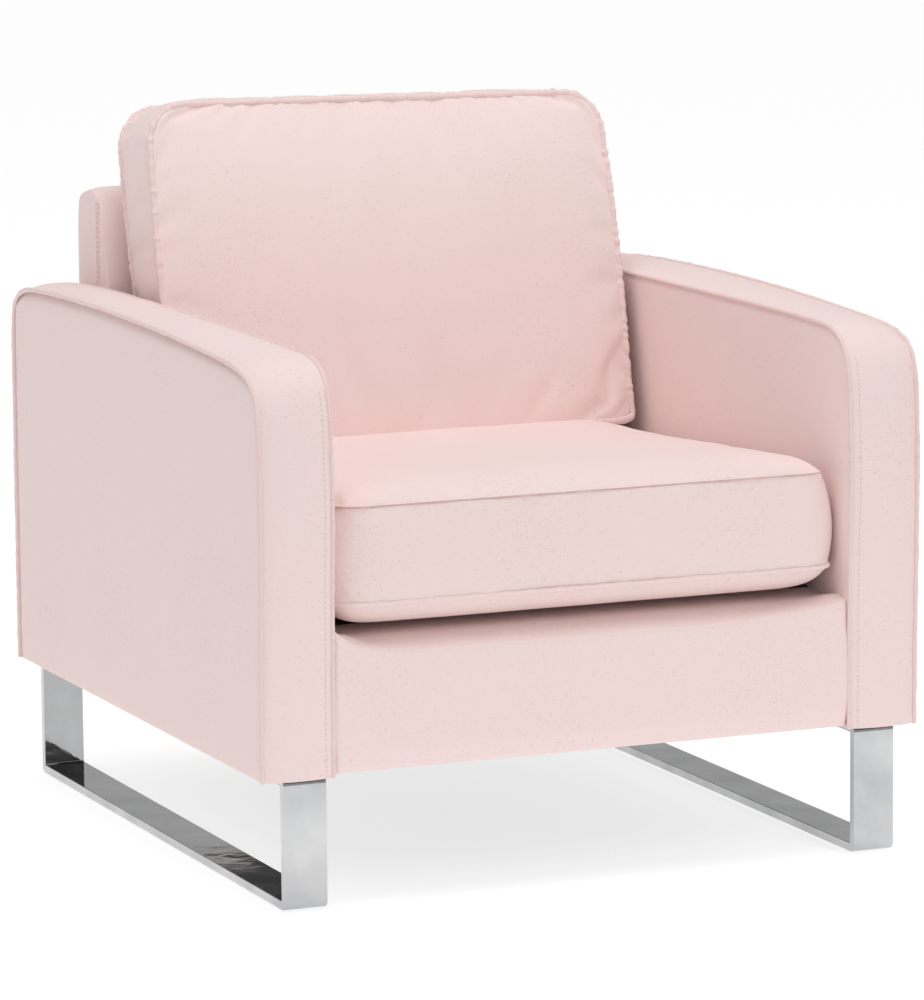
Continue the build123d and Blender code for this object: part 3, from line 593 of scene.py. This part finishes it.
def rail_profile(x):
    """The rail's cloth, from its front hem up, over the edge and back under the cushion."""
    left, right = x + inner_side, inner_side - x
    rise = 0.030 * math.exp(-left / 0.026) + 0.015 * math.exp(-right / 0.055)
    top = rail_hi.z - 0.0055 + rise + 0.0011 * ripple((x, 0, 0), 0.10)
    swell = 0.0030 + 0.0008 * ripple((x, 1, 0), 0.09)
    face, under = rail_lo.y, deck_hi.z - 0.0036
    points = [(face + 0.0030, body_low), (face + 0.0006, body_low + 0.010)]
    for t in (0.18, 0.36, 0.54, 0.72, 0.86):
        z = body_low + (top - body_low) * t
        points.append((face - swell * math.sin(math.pi * min(t + 0.10, 1)), z))
    lip = min(top + 0.0040, under)
    points += [
        (face + 0.0008, top - 0.0060),
        (face + 0.0036, top - 0.0008),
        (face + 0.0120, min(top + 0.0012, under + rise * 0.8)),
        (face + 0.0300, max(lip, under - 0.0080) + rise * 0.2),
        (rail_hi.y + 0.0150, under - 0.0030),
        (rail_hi.y + 0.0600, under - 0.0004),
        (rail_hi.y + 0.0750, under - 0.0020),
        (rail_hi.y + 0.0600, under - 0.0060),
        (rail_hi.y + 0.0050, under - 0.0160),
        (rail_hi.y, body_low + 0.080),
        (rail_hi.y, body_low + 0.010),
        (rail_hi.y - 0.0005, body_low),
    ]
    return smooth_line([(x, y, z) for y, z in points], 120)


rail_stations = even([Vector((-inner_side, 0, 0)), Vector((inner_side, 0, 0))], 150, 0.8)
rail_rows = [rail_profile(p.x) for p in rail_stations]
for row in rail_rows:
    row.append(row[0].copy())
    for i, p in enumerate(row[1:-1], 1):
        end = inner_side - abs(p.x)
        front_only = 1.0 if p.y < rail_lo.y + 0.02 else 0.0
        p.y -= front_only * 0.0006 * ripple(p, 0.010, 7.0) * math.exp(-end / 0.014)
        p.y += front_only * 0.0030 * math.exp(-((end / 0.0035) ** 2))
rail_ends = []
for row in (rail_rows[0], rail_rows[-1]):
    middle = Vector((row[0].x, (rail_lo.y + rail_hi.y) / 2, (rail_lo.z + rail_hi.z) / 2))
    rail_ends.append([row] + [[p.lerp(middle, share) for p in row] for share in (0.5, 0.9999)])
front_rail = cloth_piece(
    "front_rail_cloth",
    [(rail_rows, strip_map(rail_rows))] + [(end, flat_map(end, 1, 2)) for end in rail_ends],
    cloth,
)
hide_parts("front_rail_cover", "front_rail_padding")
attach(front_rail, "chair_frame")

# ---------------------------------------------------------------- seat deck
# A foam pad over the zigzag springs, under a plain woven lining that is stapled to the rails. The
# lining is near black: partly its own colour, partly painted shade for the gap under the seat
# cushion.

pad_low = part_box("deck_pad")[0].z


def deck_point(x, y):
    edge = min(x - deck_lo.x, deck_hi.x - x, y - deck_lo.y, deck_hi.y - y)
    front_fall = 0.0110 * math.exp(-(((y - deck_lo.y) / 0.05) ** 2))
    sag = 0.0016 * (1 - math.exp(-edge / 0.09)) + front_fall
    return Vector((x, y, deck_hi.z - sag - 0.0008 + 0.0003 * ripple((x, y, 0), 0.05)))


deck_x = even([Vector((deck_lo.x, 0, 0)), Vector((deck_hi.x, 0, 0))], 64, 0.5)
deck_y = even([Vector((0, deck_lo.y, 0)), Vector((0, deck_hi.y, 0))], 64, 0.5)
deck_top = [[deck_point(a.x, b.y) for a in deck_x] for b in deck_y]
deck_base = [[Vector((p.x, p.y, pad_low)) for p in row] for row in deck_top]
deck_sides = [
    [[p.lerp(q, t) for p, q in zip(a, b)] for t in (0, 0.5, 1)]
    for a, b in (
        (deck_top[0], deck_base[0]),
        (deck_top[-1], deck_base[-1]),
        ([r[0] for r in deck_top], [r[0] for r in deck_base]),
        ([r[-1] for r in deck_top], [r[-1] for r in deck_base]),
    )
]
deck_lining_and_painted_shade, tree, shader = new_material("deck_lining_and_painted_shade")
warp = object_noise(tree, 900.0, 2.0, (1, 0.08, 1))
# Near-black lining colour, which also paints the shade in the gap under the seat cushion.
tree.links.new(
    ramp(tree, warp, (0.060, 0.055, 0.055), (0.120, 0.110, 0.108)), shader.inputs["Base Color"]
)
shader.inputs["Roughness"].default_value = 0.95
bump(tree, shader, warp, 0.0004, 0.6)
deck = cloth_piece(
    "seat_deck",
    [(deck_top, flat_map(deck_top, 0, 1)), (deck_base, flat_map(deck_base, 0, 1))]
    + [(side, strip_map(side)) for side in deck_sides],
    deck_lining_and_painted_shade,
)
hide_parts("deck_cloth", "deck_pad")
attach(deck, "chair_frame")

# ---------------------------------------------------------------- back frame
# The fixed back: foam and cloth round the timber frame, plain seams at its corners and
# a double row of stitches down each side where the front and outside back cloths meet.

back_lo, back_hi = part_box("inside_back_cover")
lean = math.radians(14)
back_top = back_hi.z
front_at_top = back_hi.y - 0.081


def front_face(z):
    return max(back_lo.y, front_at_top - (back_top - z) * math.tan(lean))


# The seam at each end of the back, as (y, z), from the front hem over the top to the rear hem.
back_seam = (
    (back_lo.y, 0.160), (back_lo.y, 0.240), (back_lo.y, 0.285), (front_face(0.34), 0.340),
    (front_face(0.45), 0.450), (front_face(0.56), 0.560), (front_face(0.64), 0.640),
    (front_face(0.682) + 0.002, 0.682), (front_at_top + 0.009, back_top - 0.010),
    (front_at_top + 0.026, back_top - 0.003), (back_hi.y - 0.040, back_top - 0.003),
    (back_hi.y - 0.012, back_top - 0.012), (back_hi.y - 0.003, back_top - 0.038),
    (back_hi.y - 0.001, 0.600), (back_hi.y - 0.001, 0.400), (back_hi.y - 0.002, body_low),
)


def back_edge(x):
    line = smooth_line([(x, y, z) for y, z in back_seam], line_points)
    turns = ((front_at_top + 0.009, back_top - 0.010), (back_hi.y - 0.012, back_top - 0.012))
    cuts = [
        min(range(len(line)), key=lambda i: (line[i].yz - Vector(turn)).length) for turn in turns
    ]
    return (
        even(line[: cuts[0] + 1], 80, 0.7),
        even(line[cuts[0] : cuts[1] + 1], 26, 0.5),
        even(line[cuts[1] :], 80, 0.7)[::-1],
    )


side_seam = 0.336  # where the front and outside back cloths meet
back_ends = [back_edge(sign * (back_hi.x - 0.0008)) for sign in (-1, 1)]
back_panels = []
for end, sign in zip(back_ends, (-1, 1)):
    hem = even([end[0][0], end[2][0]], 26, 0.5)
    rows = coons(hem, end[1], end[0], end[2])
    for j, row in enumerate(rows[1:-1], 1):
        for i, p in enumerate(row[1:-1], 1):
            edge = min((p - row[0]).length, (row[-1] - p).length, (rows[-1][i] - p).length)
            groove = 0.0016 * math.exp(-(((p.y - side_seam) / 0.0028) ** 2)) if p.z > 0.5 else 0
            p.x += sign * (0.0022 * (1 - math.exp(-edge / 0.012)) - groove)
    back_panels.append(rows)
back_path = [end[0] + end[1][1:] + end[2][::-1][1:] for end in back_ends]
back_band = []
across_steps, across_crowd = 90, 0.75
for i, (a, b) in enumerate(zip(*back_path)):
    before, after = max(i - 1, 0), min(i + 1, len(back_path[0]) - 1)
    along = back_path[0][after] - back_path[0][before]
    outward = Vector((0, along.z, -along.y)).normalized()
    if outward.dot(Vector((0, a.y - 0.345, (a.z - 0.5) * 0.3))) < 0:
        outward = -outward
    row = []
    for k in range(across_steps + 1):
        t = eased(k / across_steps, across_crowd)
        p = a.lerp(b, t)
        edge = min(t, 1 - t) * (b - a).length
        if 0 < k < across_steps:
            rise = 0.0035 * (1 - math.exp(-edge / 0.008)) + 0.0010 * ripple(p, 0.14, 4.0)
            p = p + outward * (rise + 0.0005 * ripple(p, 0.012, 6.0) * math.exp(-edge / 0.012))
        row.append(p)
    back_band.append(row)
back_base = [
    even([p, q], across_steps, across_crowd) for p, q in zip(back_panels[0][0], back_panels[1][0])
]
back_cover = cloth_piece(
    "back_frame_cover",
    [(back_band, strip_map(back_band)), (back_base, flat_map(back_base, 0, 1))]
    + [(rows, flat_map(rows, 1, 2)) for rows in back_panels],
    cloth,
)
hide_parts("inside_back_cover", "outside_back_cover", "back_padding")
back_pieces = [back_cover]
for side, sign in (("left", -1), ("right", 1)):
    for label, y in (("front", 0.3325), ("rear", 0.3395)):
        line = [Vector((sign * (back_hi.x + 0.0013), y, 0.60 + 0.105 * t / 20)) for t in range(21)]
        facing = [Vector((sign, 0, 0))] * 21
        name = f"{side}_back_{label}_stitching"
        back_pieces.append(
            stitches(name, line, facing, stitch_pitch, thread_radius, sewing_thread)
        )
for piece in back_pieces:
    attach(piece, "chair_frame")

# ---------------------------------------------------------------- dust cover
# Thin black spunbonded cloth, stretched across the underside and stapled all round.

dust_cloth, tree, shader = new_material("dust_cloth")
fibres = object_noise(tree, 1400.0, 3.0)
tree.links.new(
    ramp(tree, fibres, (0.008, 0.008, 0.009), (0.028, 0.028, 0.030)), shader.inputs["Base Color"]
)
shader.inputs["Roughness"].default_value = 0.95
bump(tree, shader, fibres, 0.0003, 0.6)
dress("dust_cover", dust_cloth)

# ---------------------------------------------------------------- seat cushion
# A foam block in a boxed cloth cover: plain seam round the top, a lipped seam round the
# bottom, and a zip across the rear of the boxing. It lies on the deck.

seat_lo, seat_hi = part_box("seat_cushion_cover")
bottom_seam, top_seam = 0.331, 0.438
settle_frames = 20  # of the filling pressing the covers out
seat_fall = math.tan(math.radians(3))


def round_ring(lo, hi, corners, steps_x, steps_y):
    """A rounded rectangle as four lines: front, right, back and left, cut mid-corner."""
    (x0, y0), (x1, y1) = lo, hi
    places = ((x0, y0, 1, 1), (x1, y0, -1, 1), (x1, y1, -1, -1), (x0, y1, 1, -1))
    turns = []
    for (x, y, sx, sy), r in zip(places, corners):
        arc = []
        for k in range(17):
            a = math.pi / 2 * k / 16
            arc.append(Vector((x + sx * r * (1 - math.cos(a)), y + sy * r * (1 - math.sin(a)), 0)))
        turns.append(arc)
    sw, se, ne, nw = turns
    front = sw[8:] + se[8:][::-1]
    right = se[:9][::-1] + ne[:9]
    back = nw[8:] + ne[8:][::-1]
    left = sw[:9][::-1] + nw[:9]
    return (
        even(front, steps_x, 0.45),
        even(right, steps_y, 0.45),
        even(back, steps_x, 0.45),
        even(left, steps_y, 0.45),
    )


def ring_of(sides):
    front, right, back, left = sides
    return front + right[1:] + back[::-1][1:] + left[::-1][1:]


def ring_map(rings):
    """Cloth map of a boxing made of rings: along the ring, and from seam to seam."""
    columns = strip_map([list(column) for column in zip(*rings)])
    return [list(row) for row in zip(*columns)]


def puff(piece, seams, cap, pressure, shrink):
    """Blows the cover out against its sewn seams, as the filling does, then keeps that shape."""
    mesh = piece.data
    start = [v.co.copy() for v in mesh.vertices]
    held = piece.vertex_groups.new(name="seams")
    held.add([v.index for v in mesh.vertices if seams(v.co)], 1.0, "REPLACE")
    sewn = piece.modifiers.new("filling", "CLOTH")
    settings = sewn.settings
    settings.quality = 6
    settings.use_pressure = True
    settings.uniform_pressure_force = pressure
    settings.vertex_group_mass = held.name
    settings.shrink_min = shrink
    settings.tension_stiffness = 12
    settings.compression_stiffness = 12
    settings.bending_stiffness = 0.8
    settings.effector_weights.gravity = 0
    sewn.point_cache.frame_end = settle_frames
    for step in range(1, settle_frames + 1):
        bpy.context.scene.frame_set(step)
    depsgraph = bpy.context.evaluated_depsgraph_get()
    blown = piece.evaluated_get(depsgraph)
    shaped = [v.co.copy() for v in blown.data.vertices]
    piece.modifiers.remove(sewn)
    bpy.context.scene.frame_set(1)
    for v, a, b in zip(mesh.vertices, start, shaped):
        moved = b - a
        far = moved.length
        v.co = a + moved * (cap * math.tanh(far / cap) / far if far > 1e-6 else 1)


def refine(piece, rounds=1):
    bpy.ops.object.select_all(action="DESELECT")
    piece.select_set(True)
    bpy.context.view_layer.objects.active = piece
    finer = piece.modifiers.new("finer", "SUBSURF")
    finer.levels = finer.render_levels = rounds
    bpy.ops.object.modifier_apply(modifier=finer.name)
    piece.data.polygons.foreach_set("use_smooth", [True] * len(piece.data.polygons))


seat_inset = 0.0020
seat_sides = round_ring(
    (seat_lo.x + seat_inset, seat_lo.y + seat_inset),
    (seat_hi.x - seat_inset, seat_hi.y - seat_inset),
    (0.028, 0.028, 0.030, 0.030),
    62,
    64,
)
drawn_in = 0.956  # the top panel is cut narrower, so that the sides bulge below its seam
drawn_low = 0.984  # and the underside a little narrower


def seat_top_edge(p):
    return top_seam - (p.y - seat_lo.y) * seat_fall


def crowned(rows, height, power=2.2):
    n, m = len(rows[0]) - 1, len(rows) - 1
    for j, row in enumerate(rows):
        for i, p in enumerate(row):
            u = (p.x - rows[j][0].x) / max((rows[j][n].x - rows[j][0].x), 1e-6)
            v = (rows[j][i].y - rows[0][i].y) / max((rows[m][i].y - rows[0][i].y), 1e-6)
            u, v = min(max(u, 0), 1), min(max(v, 0), 1)
            lift = (1 - abs(2 * u - 1) ** power) * (1 - abs(2 * v - 1) ** power)
            p.z += height * lift


seat_top = coons(seat_sides[0], seat_sides[2], seat_sides[3], seat_sides[1])
seat_bottom = [[p.copy() for p in row] for row in seat_top]
crowned(seat_top, 0.024, 16.0)
for row in seat_top:
    for p in row:
        p.x *= drawn_in
        p.z += seat_top_edge(p)
crowned(seat_bottom, -0.029, 22)
for row in seat_bottom:
    for p in row:
        p.x *= drawn_low
        p.z += bottom_seam
seat_rim_high = [Vector((p.x * drawn_in, p.y, seat_top_edge(p))) for p in ring_of(seat_sides)]
seat_rim_low = [Vector((p.x * drawn_low, p.y, bottom_seam)) for p in ring_of(seat_sides)]
seat_boxing_steps, boxing_crowd = 14, 0.5
seat_boxing = []
for k in range(seat_boxing_steps + 1):
    t = eased(k / seat_boxing_steps, boxing_crowd)
    seat_boxing.append([a.lerp(b, t) for a, b in zip(seat_rim_low, seat_rim_high)])
seat = cloth_piece(
    "seat_cushion_filled_cover",
    [
        (seat_top, flat_map(seat_top, 0, 1)),
        (seat_bottom, flat_map(seat_bottom, 0, 1)),
        (seat_boxing, ring_map(seat_boxing)),
    ],
    cloth,
)


seat_seams = {tuple(round(c, 4) for c in p) for p in seat_rim_high + seat_rim_low}


def on_seat_seam(p):
    """The two seams, and the whole underside, which lies on the deck."""
    return p.z <= bottom_seam or tuple(round(c, 4) for c in p) in seat_seams


puff(seat, on_seat_seam, 0.015, 3.0, -0.012)
refine(seat)
zip_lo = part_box("seat_zip_chain")[0]
zip_middle = 0.3762
side_belly = 0.009  # how far the sides swell between the two seams
most_rise = 0.029  # of the top panel over its seam
for v in seat.data.vertices:
    p = v.co
    p.z = max(p.z, seat_lo.z + 0.0012 + 0.0006 * ripple(p, 0.06))
    high = seat_top_edge(p)
    rise = p.z - high
    if rise > 0:
        p.z = high + most_rise * math.tanh(rise / most_rise)
    up = min(max((p.z - bottom_seam) / (high - bottom_seam), 0), 1)
    end = min(max((abs(p.x) - 0.22) / 0.07, 0), 1)
    p.x += math.copysign(side_belly * math.sin(math.pi * up) * end, p.x)
    from_high, from_low = abs(p.z - high), abs(p.z - bottom_seam)
    front = p.y < seat_lo.y + 0.05
    near = math.exp(-from_low / 0.010) if front else 0
    p.y += 0.0010 * ripple(p, 0.011, 2.0) * near
    p.y += 0.0006 * ripple(p, 0.013, 9.0) * (math.exp(-from_high / 0.008) if front else 0)
    if front:
        p.y += 0.0012 * ripple(p, 0.075, 4.4)
    p.x = max(min(p.x, seat_hi.x + 0.0020), seat_lo.x - 0.0020)
    if p.z > high - 0.004 and not front:
        p.z += 0.0014 * ripple(p, 0.12, 8.0)
    # The rear boxing lies flat behind the zip and its slider.
    if p.y > zip_lo.y - 0.02:
        inside = max(0, 1 - max(abs(p.x) - 0.262, 0) / 0.02)
        level = max(0, 1 - max(abs(p.z - zip_middle) - 0.020, 0) / 0.010)
        wanted = zip_lo.y - 0.0016
        if p.y > wanted:
            p.y -= (p.y - wanted) * inside * level


def lifted(line, out, middle):
    return [p + Vector((p.x - middle.x, p.y - middle.y, 0)).normalized() * out for p in line]


seat_middle = Vector((0, -0.09, 0))
lip_line = even(lifted(seat_rim_low, 0.0010, seat_middle), 900)[:-1]
level_seam = Vector((0, 0, 1))
seat_lip = strand(
    "seat_cushion_bottom_lip", lip_line, level_seam, 0.0019, cloth, 0.4, 0.011, 1.3, True
)
# A fine cord along the plain top seam, in the darker cloth: painted shade in the seam's crease.
seam_line = even(lifted(seat_rim_high, 0.0002, seat_middle), 900)[:-1]
seat_seam = strand(
    "seat_cushion_top_seam", seam_line, level_seam, 0.0007, seam_painted_shade_cloth, 0.3, 0.012, 1.0, True
)
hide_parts("seat_cushion_cover", "seat_foam_core")
for piece in (seat, seat_lip, seat_seam):
    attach(piece, "seat_cushion")

# ---------------------------------------------------------------- zips
# Coil zips with woven tapes, sewn into the cushion covers, with small metal sliders.

zip_tape, tree, shader = new_material("zip_tape")
ribs = object_noise(tree, 1500.0, 2.0, (0.2, 1, 1))
tree.links.new(
    ramp(tree, ribs, (0.70, 0.50, 0.47), (0.84, 0.66, 0.63)), shader.inputs["Base Color"]
)
shader.inputs["Roughness"].default_value = 0.85
bump(tree, shader, ribs, 0.0003, 0.7)
zip_metal = hard_finish(
    "zip_metal", (0.48, 0.47, 0.45), (0.64, 0.63, 0.60), 1.0, (0.2, 0.35), 700.0, 0.00005
)
for cushion in ("seat", "back"):
    dress(cushion + "_zip_chain", zip_tape)
    dress(cushion + "_zip_slider", zip_metal)

# ---------------------------------------------------------------- back cushion
# A soft filling in a wedge-shaped boxed cover, with a folded, gathered welt in both seams
# and a zip under its foot. It stands on the seat cushion and leans on the back frame.

cushion_width, cushion_height = 0.582, 0.404
foot_thick, head_thick = 0.076, 0.106
up = Vector((0, math.sin(lean), math.cos(lean)))
rearward = Vector((0, math.cos(lean), -math.sin(lean)))
foot = Vector((0, 0.1195, 0.4310))


def cushion_point(x, height, depth):
    """Across, up the lean and back through the cushion: depth 0 is its front seam, 1 its rear."""
    share = min(max(height / cushion_height, 0), 1)
    thick = foot_thick + (head_thick - foot_thick) * share
    across = x * (0.985 + 0.020 * math.sin(math.pi * share))
    tilt = -0.0035 * x / (cushion_width / 2) * share
    high = height + tilt + 0.012 * depth * share**3
    return foot + Vector((across, 0, 0)) + up * high + rearward * (thick * depth)


back_sides = round_ring(
    (-cushion_width / 2, 0.0),
    (cushion_width / 2, cushion_height),
    (0.012, 0.012, 0.046, 0.046),
    66,
    50,
)
flat_front = coons(back_sides[0], back_sides[2], back_sides[3], back_sides[1])
flat_rear = [[p.copy() for p in row] for row in flat_front]
crowned(flat_front, 0.013)
crowned(flat_rear, 0.020)
front_panel = [[cushion_point(p.x, p.y, 0) - rearward * p.z for p in row] for row in flat_front]
rear_panel = [[cushion_point(p.x, p.y, 1) + rearward * p.z for p in row] for row in flat_rear]
ring = ring_of(back_sides)
back_boxing_steps = 12
cushion_boxing = []
for k in range(back_boxing_steps + 1):
    t = eased(k / back_boxing_steps, boxing_crowd)
    cushion_boxing.append([cushion_point(p.x, p.y, t) for p in ring])
cushion = cloth_piece(
    "back_cushion_filled_cover",
    [
        (front_panel, [[(p.x, p.y) for p in row] for row in flat_front]),
        (rear_panel, [[(p.x, p.y) for p in row] for row in flat_rear]),
        (cushion_boxing, ring_map(cushion_boxing)),
    ],
    cloth,
)
seam_points = {
    tuple(round(c, 4) for c in cushion_point(p.x, p.y, depth)) for p in ring for depth in (0, 1)
}
puff(cushion, lambda p: tuple(round(c, 4) for c in p) in seam_points, 0.020, 3.5, -0.02)
refine(cushion)
for v in cushion.data.vertices:
    p = v.co
    local = p - foot
    height, depth = local.dot(up), local.dot(rearward)
    thick = foot_thick + (head_thick - foot_thick) * height / cushion_height
    side = cushion_width / 2 - abs(p.x)
    edge = min(max(side, 0), max(height, 0), max(cushion_height - height, 0))
    if depth < 0.002:
        p -= rearward * (0.0022 * ripple(p, 0.13, 1.0) * (1 - math.exp(-edge / 0.05)))
        p -= rearward * (0.0009 * ripple(p, 0.012, 6.0) * math.exp(-edge / 0.014))
    if 0 < depth < thick and side < 0.02:
        crease = 0.0022 * ripple((p.x, p.y * 0.3, p.z), 0.016, 4.0)
        p.x += math.copysign(crease, p.x)
    # The foot of the boxing folds in round the zip and its slider.
    if height < 0.03 and abs(p.x) < 0.27:
        inside = max(0, 1 - max(abs(p.x) - 0.258, 0) / 0.012)
        level = max(0, 1 - max(abs(depth - 0.5 * foot_thick) - 0.019, 0) / 0.008)
        wanted = 0.0105
        if height < wanted:
            p += up * ((wanted - height) * inside * level)
welts = []
for depth in (0, 1):
    line = []
    for p in even([Vector((q.x, q.y, 0)) for q in ring], 1100)[:-1]:
        flare = 0.009 * math.exp(-(max(cushion_width / 2 - abs(p.x), 0) + max(p.y, 0)) / 0.020)
        out = Vector((math.copysign(1, p.x) if abs(p.x) > cushion_width / 2 - 0.03 else 0, 0, 0))
        at = cushion_point(p.x, p.y, depth) + out * (flare * 0.7)
        at += rearward * (0.0011 * ripple(at, 0.013, 5.0))
        at += up * (0.0008 * ripple(at, 0.015, 7.0))
        line.append(at)
    # The folded welts use the darker copy of the cloth: painted shade along the cushion's seams.
    welts.append(strand("fold", line, rearward, 0.0042, welt_cloth_painted_shade, 0.50, 0.0062, 0.75, True))
piping = joined(welts, "back_cushion_piping")
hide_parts("back_cushion_cover", "back_cushion_filling")
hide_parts("back_cushion_welts")
for piece in (cushion, piping):
    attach(piece, "back_cushion")

# ---------------------------------------------------------------- studio
# A pale floor that glows, as painted light that lifts the shadow under the chair and fades towards
# the front, a bright even surround, and soft lights from the front and above.

bpy.ops.object.select_all(action="DESELECT")
bpy.ops.mesh.primitive_plane_add(size=40, location=(0, 0, 0))
floor = bpy.context.object
floor.name = "studio_floor"
floor_painted_glow, tree, shader = new_material("studio_floor")
shader.inputs["Base Color"].default_value = (0.50, 0.50, 0.50, 1)
shader.inputs["Roughness"].default_value = 0.9
# The floor glows: painted light that lifts its shadow under the chair, dimmer farther in front of
# the chair.
shader.inputs["Emission Strength"].default_value = 0.74
place = add_node(tree, "TexCoord")
along = add_node(tree, "SeparateXYZ")
fade = add_node(tree, "MapRange", From_Min=-3.5, From_Max=-0.9, To_Min=0.35, To_Max=1.0)
tone = add_node(tree, "CombineColor")
tree.links.new(place.outputs["Object"], along.inputs[0])
tree.links.new(along.outputs["Y"], fade.inputs["Value"])
for channel in range(3):
    tree.links.new(fade.outputs["Result"], tone.inputs[channel])
tree.links.new(tone.outputs["Color"], shader.inputs["Emission Color"])
floor.data.materials.append(floor_painted_glow)

world = bpy.data.worlds.new("studio")
bpy.context.scene.world = world
world.use_nodes = True
surround = world.node_tree
soft_white = surround.nodes["Background"]
soft_white.inputs["Color"].default_value = (1, 1, 1, 1)
soft_white.inputs["Strength"].default_value = 0.45
plain_white = surround.nodes.new("ShaderNodeBackground")
plain_white.inputs["Strength"].default_value = 1.05
plain_white.inputs["Color"].default_value = (1, 1, 1, 1)
seen_direct = surround.nodes.new("ShaderNodeLightPath")
either = surround.nodes.new("ShaderNodeMixShader")
surround.links.new(seen_direct.outputs["Is Camera Ray"], either.inputs["Fac"])
surround.links.new(soft_white.outputs[0], either.inputs[1])
surround.links.new(plain_white.outputs[0], either.inputs[2])
surround.links.new(either.outputs[0], surround.nodes["World Output"].inputs["Surface"])
for name, place, aim, size, power in (
    ("key_light", (1.5, -4.3, 3.7), (0, 0, 0.5), 2.4, 41),
    ("top_light", (-0.3, -0.6, 3.6), (0, 0, 0.4), 2.2, 46),
    ("side_light", (-3.2, -0.6, 3.4), (0.1, 0.1, 0.5), 1.8, 3),
):
    lamp = bpy.data.lights.new(name, "AREA")
    lamp.size, lamp.energy = size, power
    lit = bpy.data.objects.new(name, lamp)
    lit.location = place
    lit.rotation_euler = (Vector(aim) - Vector(place)).to_track_quat("-Z", "Y").to_euler()
    bpy.context.scene.collection.objects.link(lit)
bpy.context.scene.view_settings.view_transform = "Standard"

# ---------------------------------------------------------------- camera
# A long lens a little above the arms, in front of the left arm.

lens_mm, sensor_mm = 199.05, 36.0
yaw, pitch, roll = (math.radians(a) for a in (-22.77, -8.79, -0.51))
ahead = Vector(
    (math.sin(-yaw) * math.cos(pitch), math.cos(-yaw) * math.cos(pitch), math.sin(pitch))
)
level = ahead.cross(Vector((0, 0, 1))).normalized()
upright = level.cross(ahead)
camera_right = level * math.cos(roll) + upright * math.sin(roll)
camera_up = upright * math.cos(roll) - level * math.sin(roll)
camera_data = bpy.data.cameras.new("studio_camera")
camera_data.lens, camera_data.sensor_width = lens_mm, sensor_mm
camera_data.shift_x, camera_data.shift_y = -0.0059, -0.0167
camera_data.clip_end = 60
camera = bpy.data.objects.new("studio_camera", camera_data)
camera.matrix_world = Matrix.Translation((-2.44441, -5.87885, 1.37408)) @ Matrix(
    (camera_right, camera_up, -ahead)
).transposed().to_4x4()
bpy.context.scene.collection.objects.link(camera)
bpy.context.scene.camera = camera
